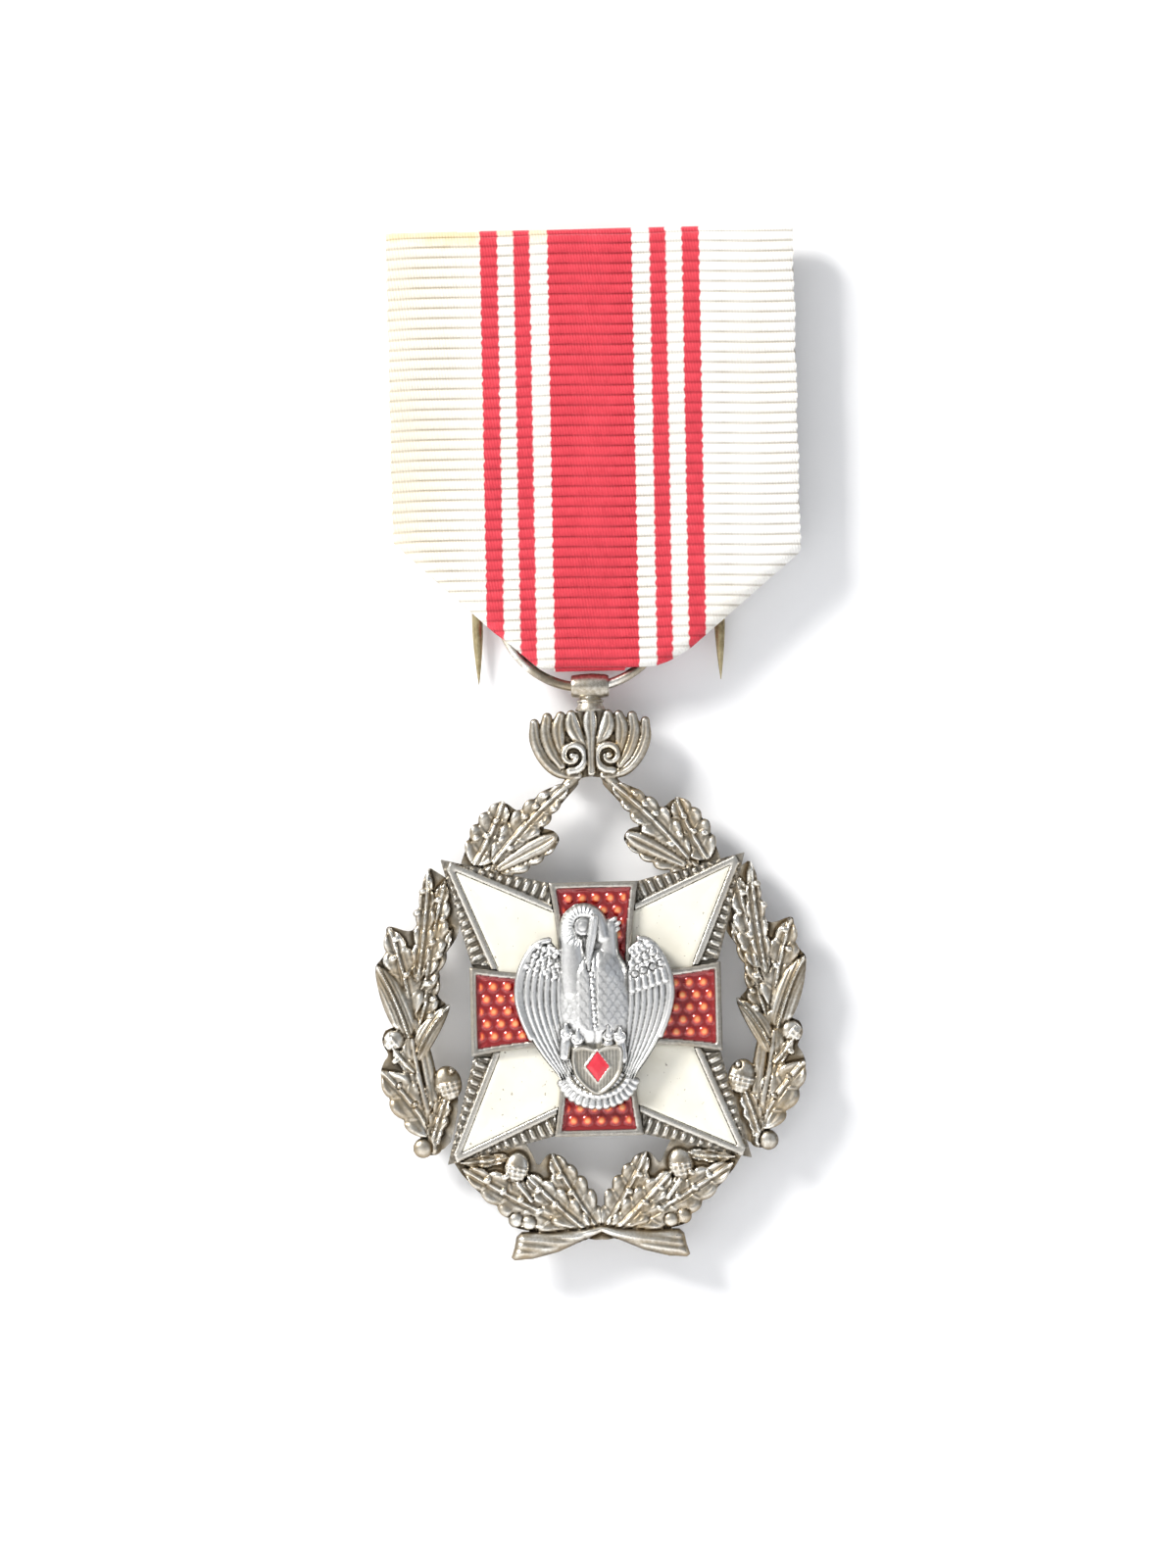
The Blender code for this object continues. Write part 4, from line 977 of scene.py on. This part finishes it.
# small pads between the leaves
TOP_DABS = (
    (-4.4, -10.0), (-5.3, -11.0), (-6.3, -11.9), (-3.6, -11.3), (-4.7, -12.6), (-9.0, -12.2), (-9.9, -13.6),
    (-10.9, -13.8), (-8.6, -13.9), (-5.2, -15.2), (-4.2, -14.5), (-6.5, -15.9), (-7.7, -14.8))
SIDE_DABS = (
    (-16.0, -18.6), (-16.6, -20.6), (-14.6, -19.4), (-14.2, -21.2), (-15.2, -23.4), (-18.6, -23.0),
    (-18.9, -24.8), (-17.7, -26.3), (-14.6, -24.6), (-15.7, -27.2), (-15.3, -28.6), (-15.6, -30.2),
    (-18.6, -36.6), (-17.2, -38.4), (-18.9, -34.3))
LOW_DABS = (
    (-10.6, -45.6), (-9.2, -46.7), (-7.6, -47.5), (-5.9, -48.6), (-3.9, -45.4), (-2.9, -46.9), (-5.9, -46.6),
    (-4.4, -48.0), (-8.9, -45.3))

# stems as (x, z, half width)
SPRIG_STEM = ((-1.6, -8.2, 0.55), (-3.4, -10.4, 0.5), (-6.4, -13.6, 0.5), (-9.8, -16.6, 0.45))
SPRIG_CURL = ((-8.8, -16.6, 0.4), (-6.6, -15.4, 0.75), (-4.8, -14.5, 0.85), (-3.8, -13.95, 0.5))
BRANCH_STEM = (
    (-15.6, -42.4, 0.8), (-16.1, -39.0, 0.75), (-16.9, -35.5, 0.6), (-17.3, -32.0, 0.55),
    (-17.1, -28.0, 0.5), (-16.3, -23.0, 0.45), (-15.4, -18.5, 0.3))
BRANCH_RIDGE = ((-15.6, -42.6, 0.42), (-15.95, -39.5, 0.36), (-16.8, -35.8, 0.28), (-17.3, -32.4, 0.22))
SPRAY_HORN = (
    (0.4, -49.9), (-2.0, -50.3), (-4.8, -50.55), (-7.6, -50.55), (-8.1, -51.0), (-8.3, -52.0), (-8.6, -52.9),
    (-8.3, -53.15), (-6.6, -53.05), (-4.2, -52.45), (-2.0, -51.5), (0.4, -50.5))


def draw_sprig(sprig):
    sprig.stroke(SPRIG_STEM, 0.0, 0.6)
    sprig.ground(TOP_GROUND)
    sprig.leaves(TOP_LEAVES)
    sprig.dabs(TOP_DABS, 0.36)
    sprig.stroke(SPRIG_CURL, 0.45, 0.4, over=True, groove=0.1, crease=0.2)


def draw_branch(branch):
    branch.stroke(BRANCH_STEM, -0.1, 0.75)
    branch.ground(SIDE_GROUND)
    branch.leaves(SIDE_LEAVES)
    branch.stroke(BRANCH_RIDGE, 0.6, 0.35, over=True, groove=0.08)
    for shift in (-1.5, -0.8, 0.75, 1.35):
        branch.stroke([(-17.3 + 0.25 * shift, -30.6, 0.2), (-17.0 + 0.75 * shift, -33.5, 0.36),
                       (-16.5 + 0.8 * shift, -36.6, 0.38), (-15.7 + 0.55 * shift, -40.2, 0.3),
                       (-15.4 + 0.2 * shift, -42.0, 0.2)], 0.4, 0.4)
    branch.leaves([((-14.0, -37.0), (-15.7, -41.9), 0.95, 4, 0.1)], 0.1)
    branch.dome(-14.1, -36.5, 1.25, 1.6, 0.45, 0.6, turn=0.25, nut=True, groove=0.12)
    branch.dome(-13.75, -35.35, 0.28, 0.3, 0.85, 0.35)
    branch.dome(-19.0, -32.4, 0.95, 1.05, 0.45, 0.55, turn=-0.9, nut=True, groove=0.12)
    branch.leaves([((-19.2, -33.0), (-17.2, -35.4), 0.6, 2, 0.1)], 0.1)
    branch.dome(-16.55, -42.5, 0.92, 0.92, 0.35, 0.5, groove=0.1)
    branch.dabs(SIDE_DABS, 0.38)


def draw_spray(spray):
    spray.ground(LOW_GROUND)
    spray.leaves(LOW_LEAVES)
    spray.horn(SPRAY_HORN)
    spray.dome(-7.9, -44.5, 1.15, 1.45, 0.45, 0.6, turn=-0.2, nut=True, groove=0.12)
    spray.stroke([(-7.8, -46.0, 0.3), (-6.6, -47.6, 0.28)], 0.5, 0.45, over=True)
    spray.dome(-8.05, -49.35, 0.75, 0.75, 0.4, 0.45, groove=0.08)
    spray.dome(-6.85, -49.65, 0.72, 0.72, 0.4, 0.4, groove=0.08)
    spray.dabs(LOW_DABS, 0.4)
    spray.relief.trim((CENTRE[0] + 0.03 - spray.relief.x) * -spray.side)


def make_wreath(silver):
    """Three groups of leaves at the left and their mirror images, cut back to the saltire's edge."""
    for group, left, right, heights, reach, draw in (
            ("upper_sprig", (-13.4, -0.9), (0.6, 13.0), (-18.8, -7.6), 0.97, draw_sprig),
            ("branch", (-21.3, -12.0), (11.0, 20.4), (-44.4, -15.8), 0.96, draw_branch),
            ("lower_spray", (-13.8, 0.2), (-0.5, 13.4), (-53.9, -42.4), 0.97, draw_spray)):
        for name, side, limits in ((group + "_left", -1, left), (group + "_right", 1, right)):
            relief = Relief(*limits, *heights)
            draw(Side(relief, side, reach))
            relief.trim(-relief.within(saltire_outline()) + 0.05)
            piece = relief.build(name + "_visual", LEAF_BACK, hollow=0.35)
            settle(piece, silver, "badge", "toned_silver", name)


HEART = (
    (-5.1, -4.2), (-4.6, -6.2), (-3.4, -7.9), (-1.5, -8.5), (0.0, -8.3), (1.5, -8.5), (3.4, -7.9),
    (4.6, -6.2), (5.1, -4.2), (3.4, -2.9), (1.6, -2.3), (-1.6, -2.3), (-3.4, -2.9))
FRONDS = (
    ((5.15, -3.25, 0.42), (5.0, -4.8, 0.66), (4.25, -6.5, 0.68), (3.0, -7.75, 0.6), (1.2, -8.15, 0.45)),
    ((3.95, -2.75, 0.46), (4.0, -4.2, 0.74), (3.5, -5.9, 0.68), (2.7, -7.2, 0.45)),
    ((2.7, -2.65, 0.46), (2.95, -3.8, 0.7), (2.85, -5.0, 0.56), (2.6, -6.0, 0.4)),
    ((1.7, -2.55, 0.46), (1.65, -3.5, 0.74), (1.15, -4.6, 0.66), (0.55, -5.6, 0.46), (0.3, -6.6, 0.3)))


def make_palmette(silver):
    """Fronds that bend outward at both sides of a middle one, over a pair of spirals."""
    relief = Relief(-6.3, 6.2, -9.4, -1.4, 0.08)
    d = polygon(relief.x + 0.1, relief.z, HEART)
    relief.put(d, np.full(d.shape, 0.45))
    for s in (-1, 1):
        for k, route in enumerate(FRONDS):
            points = [(s * x - 0.1, z, w) for x, z, w in route]
            relief.stroke(points, 0.42 + 0.05 * k, 0.42, over=True, groove=0.08, crease=0.1)
        turns = []
        for k in range(20):
            angle = math.radians(-100.0 + 24.0 * k)
            reach = 1.35 * (1.0 - k / 24.0) + 0.1
            turns.append((s * (1.72 - reach * math.cos(angle)) - 0.08, -6.35 + reach * math.sin(angle),
                          0.4 - 0.008 * k))
        relief.stroke(turns, 0.68, 0.4, over=True, groove=0.08, steps=1)
        relief.dome(s * 1.72 - 0.08, -6.35, 0.3, 0.3, 0.85, 0.25, groove=0.05)
        foot = [(s * 1.2 - 0.1, -8.05, 0.5), (s * 2.0 - 0.1, -8.8, 0.52), (s * 2.5 - 0.1, -9.3, 0.45)]
        relief.stroke(foot, 0.25, 0.45, steps=2)
    relief.stroke([(-0.05, -2.3, 0.5), (-0.1, -3.3, 0.68), (-0.05, -4.6, 0.52), (-0.05, -6.4, 0.42),
                   (-0.05, -7.9, 0.4)], 0.62, 0.4, over=True, groove=0.08, crease=0.1)
    piece = relief.build("palmette_visual", PALMETTE_BACK, hollow=0.3)
    settle(piece, silver, "badge", "toned_silver", "palmette")


# ---------------------------------------------------------------- suspension


def make_suspension(silver):
    """The barrel eyelet, its collar and the wire ring with its soldered joint."""
    wide, bore = 1.75, 0.78
    profile = [(-wide, bore), (-wide, 0.93), (-wide + 0.1, 1.02), (-wide + 0.35, 1.07), (-0.8, 1.13),
               (-0.3, 1.17), (0.2, 1.18), (0.8, 1.14), (wide - 0.35, 1.08), (wide - 0.1, 1.02), (wide, 0.93),
               (wide, bore), (0.0, bore)]
    barrel = lathe("barrel_eyelet_visual", profile, (0.0, 0.1, 0.0), "X", EYELET, 48)
    settle(barrel, silver, "badge", "toned_silver", "barrel_eyelet")
    neck = [(-0.85, 0.0), (-0.85, 0.86), (-1.1, 0.98), (-1.22, 1.22), (-1.36, 1.26), (-1.48, 1.12),
            (-1.75, 1.2), (-2.05, 1.42), (-2.2, 1.4), (-2.3, 1.0), (-2.3, 0.0)]
    collar = lathe("barrel_collar", neck, (0.0, 0.0, 0.0), "Z", EYELET)
    flatter = 0.8
    for v in collar.data.vertices:
        v.co.y = -RING_PLANE * MM + (v.co.y + RING_PLANE * MM) * flatter
    settle(collar, silver, "badge", "toned_silver")

    around, sides = 160, 20
    k, i = np.meshgrid(np.arange(around), np.arange(sides), indexing="ij")
    angle, turn = k * 2.0 * math.pi / around, i * 2.0 * math.pi / sides
    joint = np.exp(-((angle - math.radians(228.0)) / 0.045) ** 2)
    wire = RING_WIRE * (1.0 + 0.02 * np.sin(3.0 * angle) + 0.06 * joint)
    reach = RING_RADIUS + wire * np.cos(turn)
    x, z = reach * np.cos(angle) + RING_SHIFT, reach * np.sin(angle) + RING_RADIUS
    places = spots(x, z, wire * np.sin(turn)).reshape(-1, 3)
    wear_and_shade = 0.5 + 0.3 * np.sin(5.0 * angle + 2.0) * np.sin(turn) + 0.3 * joint
    ring = mesh_object("suspension_ring_visual", places, wrapped((k * sides + i).T), wear_and_shade.ravel())
    settle(upright(ring), silver, "ring", "toned_silver", "suspension_ring")


# ---------------------------------------------------------------- ribbon

def ribbon_outline():
    """The front edge of the drape below the bar, as one closed outline that reaches up past it."""
    half = RIBBON_HALF
    return [(-half - 2.0, 30.0), (-half - 2.0, -24.6), (-half, -26.5), (-12.0, -32.9), (-10.0, -34.8),
            (-8.2, -36.25), (-6.1, -38.1), (-5.4, -38.55), (-4.0, FOLD_Z), (3.0, FOLD_Z), (4.9, -38.55),
            (6.6, -38.0), (8.5, -36.9), (half, -28.2), (half + 2.0, -26.4), (half + 2.0, 30.0)]


SPAN = BAR_Z - (FOLD_Z + 1.6)             # from the bar's middle to where the fold begins
ARC = math.pi * LOOP_RADIUS
INNER_END = 11.7                          # the cloth's inner end, below the bar, on the back
OUTER_END = 6.7                           # its outer end
WEB = (-4.25, 2.35)                       # the part of the fold that goes through the ring
PIN_X = 11.3
FOLD_ROUND = 1.3                          # how far from a fold's edge the cloth begins to turn under
FOLD_SHIFT = 0.3                          # and how far back the edge itself lies
FLAT_LENGTH = INNER_END + ARC + SPAN + ARC + SPAN - OUTER_END


def make_ribbon(cloth):
    """One strip: from its inner end up the back, over the bar, down the front, through the ring and up."""
    step_t = RIB_PITCH / 8.0
    x, t = np.meshgrid(np.arange(-19.5, 19.51, 0.6), np.arange(-1.0, FLAT_LENGTH + 1.0, step_t))
    over_bar = t - INNER_END
    down_front = over_bar - ARC
    through = down_front - SPAN
    up_back = through - ARC

    # how far each point hangs below the bar, if its layer were flat
    on_top = (over_bar >= 0.0) & (down_front < 0.0)
    drop = np.where(over_bar < 0.0, -over_bar, down_front)
    drop = np.where(up_back > 0.0, SPAN - up_back, drop)
    in_fold = (through > 0.0) & (up_back < 0.0)
    half_way = np.where(through < ARC / 2.0, through, ARC - through)
    drop = np.where(in_fold, SPAN + half_way, drop)
    flat_z = np.where(on_top, 10.0, BAR_Z - drop)

    outline = polygon(x, flat_z, ribbon_outline())
    web = np.minimum(x - WEB[0], WEB[1] - x)
    past_edge = in_fold & (half_way > LOOP_RADIUS)
    hem = np.where(past_edge, web, np.where(in_fold, np.maximum(outline, web), outline))
    teeth = 0.13 * np.abs(np.sin(math.pi * t / RIB_PITCH)) + 0.05 * np.sin(t * 0.9) + 0.03 * np.sin(t * 2.3)
    side = RIBBON_HALF - 0.1 - np.abs(x) + teeth
    ends = np.minimum(t, FLAT_LENGTH - t)
    inside = np.minimum(np.minimum(hem, side), ends)
    turn = over_bar / LOOP_RADIUS
    slot = np.minimum(1.0 - np.abs(np.abs(x) - PIN_X), np.minimum(turn + 0.66, 1.82 - turn) * LOOP_RADIUS)
    inside = np.minimum(inside, -slot)

    # the middle of the cloth: depth and height, and the direction out of the loop
    angle = np.clip(turn, 0.0, math.pi)
    depth = np.where(down_front > 0.0, LOOP_RADIUS, -LOOP_RADIUS * np.cos(angle))
    depth = np.where(up_back > 0.0, -LOOP_RADIUS, depth)
    height = np.where(on_top, BAR_Z + LOOP_RADIUS * np.sin(angle), BAR_Z - drop)
    out_depth, out_z = -np.cos(angle), np.sin(angle)
    lap = smooth_step(3.4, 5.6, -over_bar)
    depth = depth + np.where(over_bar < 0.0, 0.37 * lap, 0.0)

    bend = np.clip(through / LOOP_RADIUS, 0.0, math.pi)
    soft = smooth_step(-0.1, 0.9, web)
    soft = np.where(past_edge, 1.0, soft)
    arc_depth, arc_z = LOOP_RADIUS * np.cos(bend), BAR_Z - SPAN - LOOP_RADIUS * np.sin(bend)
    flat_depth = np.where(through < ARC / 2.0, LOOP_RADIUS, -LOOP_RADIUS)
    depth = np.where(in_fold, flat_depth + (arc_depth - flat_depth) * soft, depth)
    height = np.where(in_fold, height + (arc_z - height) * soft, height)
    fold_depth = np.where(in_fold, np.cos(bend) * soft + np.sign(flat_depth) * (1.0 - soft), 1.0)
    fold_z = np.where(in_fold, -np.sin(bend) * soft, 0.0)
    after = down_front > 0.0
    out_depth = np.where(after, np.where(up_back > 0.0, -1.0, fold_depth), out_depth)
    out_z = np.where(after, np.where(in_fold, fold_z, 0.0), out_z)

    # slack in the cloth, the ribs and the turned-in edges
    hang = smooth_step(2.0, 12.0, drop)
    slack = 0.10 * np.sin(x * 0.21 + 0.6) * np.sin(drop * 0.13) + 0.05 * np.sin(x * 0.47 + drop * 0.31)
    depth = depth + np.where(in_fold, 0.0, slack * hang * smooth_step(SPAN, SPAN - 6.0, drop))
    sag = 0.16 * (x / RIBBON_HALF) ** 2 + 0.05 * np.sin(x * 0.5)
    phase = math.pi * (t - np.where(up_back > 0.0, -sag, sag)) / RIB_PITCH
    rib = np.abs(np.sin(phase)) ** 0.75 * 2.0 - 1.0
    ribs = RIB_HEIGHT * rib
    fold_edge = np.where(after & ~past_edge, hem, 9.0)
    fold_edge = np.where(after & (web > 0.3) & in_fold, 9.0, fold_edge)
    curl = 1.0 - np.clip(fold_edge, 0.0, FOLD_ROUND) / FOLD_ROUND
    curl = 1.0 - np.sqrt(np.clip(1.0 - curl ** 2, 0.0, None))
    depth = depth - np.where(up_back > 0.0, -FOLD_SHIFT, FOLD_SHIFT) * curl
    doubled = smooth_step(3.6, 3.4, fold_edge)
    rise = CLOTH / 2.0 + ribs * (1.0 - 0.6 * curl) - CLOTH * curl
    selvedge = smooth_step(0.45, 0.0, side)
    rise = rise - 0.08 * selvedge
    fall = CLOTH / 2.0 + CLOTH * doubled - CLOTH * curl - 0.05 * ribs
    fall = np.maximum(fall, -rise + 0.02)
    front = spots(x, height + out_z * rise, depth + out_depth * rise, NO_SHIFT)
    back = spots(x, height - out_z * fall, depth - out_depth * fall, NO_SHIFT)
    # the ribs' profile, lowest in the grooves, where the cloth's material paints shade
    wear_and_shade = np.clip(0.5 + 0.5 * rib, 0.0, 1.0)
    piece = closed("ribbon", inside, front, back, wear_and_shade)
    piece.data.flip_normals()
    settle(piece, cloth, "drape", "ribbon", "ribbon_drape")


# one stitch across the seam, as (x, z, depth from the cloth's back, radius)
STITCH = ((-0.8, -8.03, 0.1, 0.07), (-0.62, -8.02, -0.12, 0.13), (-0.3, -8.0, -0.2, 0.15),
          (0.3, -7.98, -0.2, 0.15), (0.62, -7.97, -0.12, 0.13), (0.8, -7.96, 0.1, 0.07))
STITCHES = 8
STITCH_PITCH = 2.2


def make_stitches(thread):
    back = -LOOP_RADIUS - CLOTH / 2.0
    routes = []
    for k in range(STITCHES):
        middle = (k - 0.5 * (STITCHES - 1)) * STITCH_PITCH
        routes.append([(middle + x, z, back + depth, radius) for x, z, depth, radius in STITCH])
    settle(tube("seam_stitches", routes, sides=12), thread, "drape", "thread", "seam_thread")


# ---------------------------------------------------------------- brooch

def make_brooch(brass, shaded_brass):
    """The back plate, the bar that carries the ribbon, its two posts and the two prongs."""
    plate = Relief(-17.6, 17.6, -2.4, 2.4, 0.12)
    core = [(-15.8, -0.7), (15.8, -0.7), (15.8, 0.7), (-15.8, 0.7)]
    d = plate.within(core) + 1.2
    plate.put(d, -1.9 - 0.14 * smooth_step(0.2, 0.0, d) - 0.07 * smooth_step(0.0, 0.5, d - 0.5))
    piece = plate.build("brooch_plate_visual", -RING_PLANE, NO_SHIFT, wear_reach=3)
    settle(piece, brass, "brooch", "brass", "brooch_plate")

    end = 18.7
    profile = [(-end, 0.0), (-end, 0.7), (-end + 0.06, 0.82), (-end + 0.2, 0.9), (end - 0.2, 0.9),
               (end - 0.06, 0.82), (end, 0.7), (end, 0.0)]
    bar = lathe("brooch_bar_visual", profile, (0.0, BAR_Z, 0.0), "X", NO_SHIFT, 32)
    settle(bar, brass, "brooch", "brass", "brooch_bar")
    for name, x in (("left", -PIN_X), ("right", PIN_X)):
        post = [(x, BAR_Z, depth, radius) for depth, radius in
                ((-0.6, 0.56), (-0.9, 0.52), (-1.65, 0.52), (-1.8, 0.62), (-1.93, 0.66))]
        settle(tube("brooch_post_" + name, [post], sides=20), brass, "brooch", "brass")
        depth = -RING_PLANE + 0.52
        route = [(x, -2.0, depth, 0.42)]
        route += [(x, z, depth, 0.5) for z in (-2.3, -8.0, -16.0, -24.0, -31.0, -33.8)]
        for s in (0.15, 0.3, 0.45, 0.6, 0.75, 0.88, 0.96, 1.0):
            route.append((x, -39.8 + 6.0 * (1.0 - s), depth, 0.5 * (1.0 - s ** 1.7) + 0.03))
        # the prongs take the darker brass, which is painted shade
        prong = tube("prong_%s_visual" % name, [route], sides=20)
        settle(prong, shaded_brass, "brooch", "brass", "prong_" + name)


# ---------------------------------------------------------------- stage, light and camera

VIEW_CENTRE = (-0.00135, -0.0493)     # x and z of the middle of the view
VIEW_HEIGHT = 0.1466
VIEW_DISTANCE = 0.62
VIEW_ROLL = math.radians(1.4)
LIGHTS_AIM = (0.0, 0.0, -0.05)
SKY_BRIGHT_SIDE = (-0.62, -0.3, 0.6)
SKY_STRENGTH = 0.58
BOARD_DEPTH = 0.0006                  # the board stands this far behind the brooch
BOARD_REACH = 0.75
BOARD_TOP = 0.6
FLOOR_HEIGHT = -0.17
FLOOR_REACH = 2.5


def rectangle(name, corners, look):
    mesh = bpy.data.meshes.new(name)
    mesh.from_pydata(corners, [], [tuple(range(len(corners)))])
    made = bpy.data.objects.new(name, mesh)
    bpy.context.scene.collection.objects.link(made)
    made.data.materials.append(look)


def make_stage():
    """A white board behind the medal, open from behind, and a pale floor under both."""
    board = Look("board_paper", Roughness=0.8, Specular_IOR_Level=0.2)
    paper = board.ramp(board.noise(0.02, 2.0), (0.3, (0.90, 0.905, 0.92)), (0.7, (0.915, 0.92, 0.93)))
    board.set("Base Color", paper)
    board.bump(board.noise(1.6, 3.0), 0.05, 0.05)
    board.shader.inputs["Emission Color"].default_value = (0.95, 0.97, 1.0, 1.0)
    board.shader.inputs["Emission Strength"].default_value = 0.05
    behind = board.add("NewGeometry", out=6)
    clear = board.add("BsdfTransparent")
    both = board.add("MixShader", {0: behind, 1: board.shader.outputs[0], 2: clear})
    board.tree.links.new(both, board.tree.nodes["Material Output"].inputs["Surface"])
    x, y, low, high = BOARD_REACH, BOARD_DEPTH, FLOOR_HEIGHT, BOARD_TOP
    rectangle("board", [(-x, y, low), (x, y, low), (x, y, high), (-x, y, high)], board.material)

    floor = Look("floor_paper", Roughness=0.85, Specular_IOR_Level=0.2)
    paper = floor.ramp(floor.noise(0.02, 2.0), (0.3, (0.88, 0.88, 0.89)), (0.7, (0.90, 0.90, 0.905)))
    floor.set("Base Color", paper)
    x = FLOOR_REACH
    rectangle("floor", [(-x, -x, low), (x, -x, low), (x, x, low), (-x, x, low)], floor.material)


def area_light(name, place, size, power, colour):
    light = bpy.data.lights.new(name, "AREA")
    light.shape = "RECTANGLE"
    light.size, light.size_y = size
    light.energy, light.color = power, colour
    made = bpy.data.objects.new(name, light)
    bpy.context.scene.collection.objects.link(made)
    made.location = place
    made.rotation_euler = (Vector(LIGHTS_AIM) - Vector(place)).to_track_quat("-Z", "Y").to_euler()


def make_light():
    """A window at the upper left, a weak fill at the right and a sky that is brighter towards the window."""
    area_light("window", place=(-0.46, -0.40, 0.36), size=(0.22, 0.22), power=6.2, colour=(1.0, 0.985, 0.96))
    area_light("fill", place=(0.60, -0.55, 0.05), size=(0.3, 0.5), power=0.22, colour=(0.90, 0.94, 1.0))
    world = bpy.data.worlds.new("room")
    bpy.context.scene.world = world
    world.use_nodes = True
    tree = world.node_tree
    direction = tree.nodes.new("ShaderNodeTexCoord")
    toward = tree.nodes.new("ShaderNodeVectorMath")
    toward.operation = "DOT_PRODUCT"
    toward.inputs[1].default_value = Vector(SKY_BRIGHT_SIDE).normalized()
    tree.links.new(direction.outputs["Generated"], toward.inputs[0])
    spread = tree.nodes.new("ShaderNodeMapRange")
    spread.inputs["From Min"].default_value = -1.0
    tree.links.new(toward.outputs["Value"], spread.inputs["Value"])
    tones = tree.nodes.new("ShaderNodeValToRGB")
    for element, position, colour in zip(tones.color_ramp.elements, (0.2, 0.92),
                                         ((0.11, 0.135, 0.19, 1.0), (0.98, 0.99, 1.0, 1.0))):
        element.position, element.color = position, colour
    tree.links.new(spread.outputs[0], tones.inputs[0])
    tree.links.new(tones.outputs[0], tree.nodes["Background"].inputs["Color"])
    tree.nodes["Background"].inputs["Strength"].default_value = SKY_STRENGTH


def make_camera():
    data = bpy.data.cameras.new("camera")
    data.sensor_fit = "VERTICAL"
    data.sensor_height = 36.0
    data.lens = 36.0 * VIEW_DISTANCE / VIEW_HEIGHT
    data.clip_start, data.clip_end = 0.01, 20.0
    camera = bpy.data.objects.new("camera", data)
    bpy.context.scene.collection.objects.link(camera)
    c, s = math.cos(VIEW_ROLL), math.sin(VIEW_ROLL)
    turn = Matrix(((c, s, 0.0), (0.0, 0.0, -1.0), (-s, c, 0.0))).to_4x4()
    camera.matrix_world = Matrix.Translation((VIEW_CENTRE[0], -VIEW_DISTANCE, VIEW_CENTRE[1])) @ turn
    bpy.context.scene.camera = camera


def main():
    make_camera()
    silver = silver_look("toned_silver", (0.19, 0.163, 0.125), (0.41, 0.37, 0.305), (0.88, 0.86, 0.80),
                         0.14, 0.40, 0.6)
    grey = silver_look("grey_silver", (0.26, 0.24, 0.205), (0.36, 0.34, 0.305), (0.68, 0.66, 0.61),
                       0.20, 0.42, 0.25)
    bright = silver_look("bright_silver", (0.36, 0.36, 0.355), (0.72, 0.72, 0.71), (0.97, 0.97, 0.96),
                         0.15, 0.34, 0.04)
    dim = silver_look("dim_silver", (0.24, 0.225, 0.19), (0.45, 0.43, 0.38), (0.74, 0.72, 0.67),
                      0.2, 0.4, 0.2)
    brass = brass_look("aged_brass", (0.22, 0.145, 0.06), (0.52, 0.37, 0.16), (0.70, 0.53, 0.26))
    # a darker copy of the brass for the prongs: painted shade for the ribbon's shadow over them
    shaded_brass = brass_look("painted_shade_brass", (0.13, 0.10, 0.055), (0.36, 0.29, 0.16), (0.56, 0.48, 0.29))
    make_saltire(grey, white_enamel_look())
    make_cross(grey, red_enamel_look())
    make_bird(bright)
    make_shield(dim, shield_red_look())
    make_rivets(silver)
    make_wreath(silver)
    make_palmette(silver)
    make_suspension(silver)
    make_brooch(brass, shaded_brass)
    make_ribbon(ribbon_look())
    make_stitches(thread_look())
    make_stage()
    make_light()
    bpy.context.scene.view_settings.view_transform = "Standard"


main()
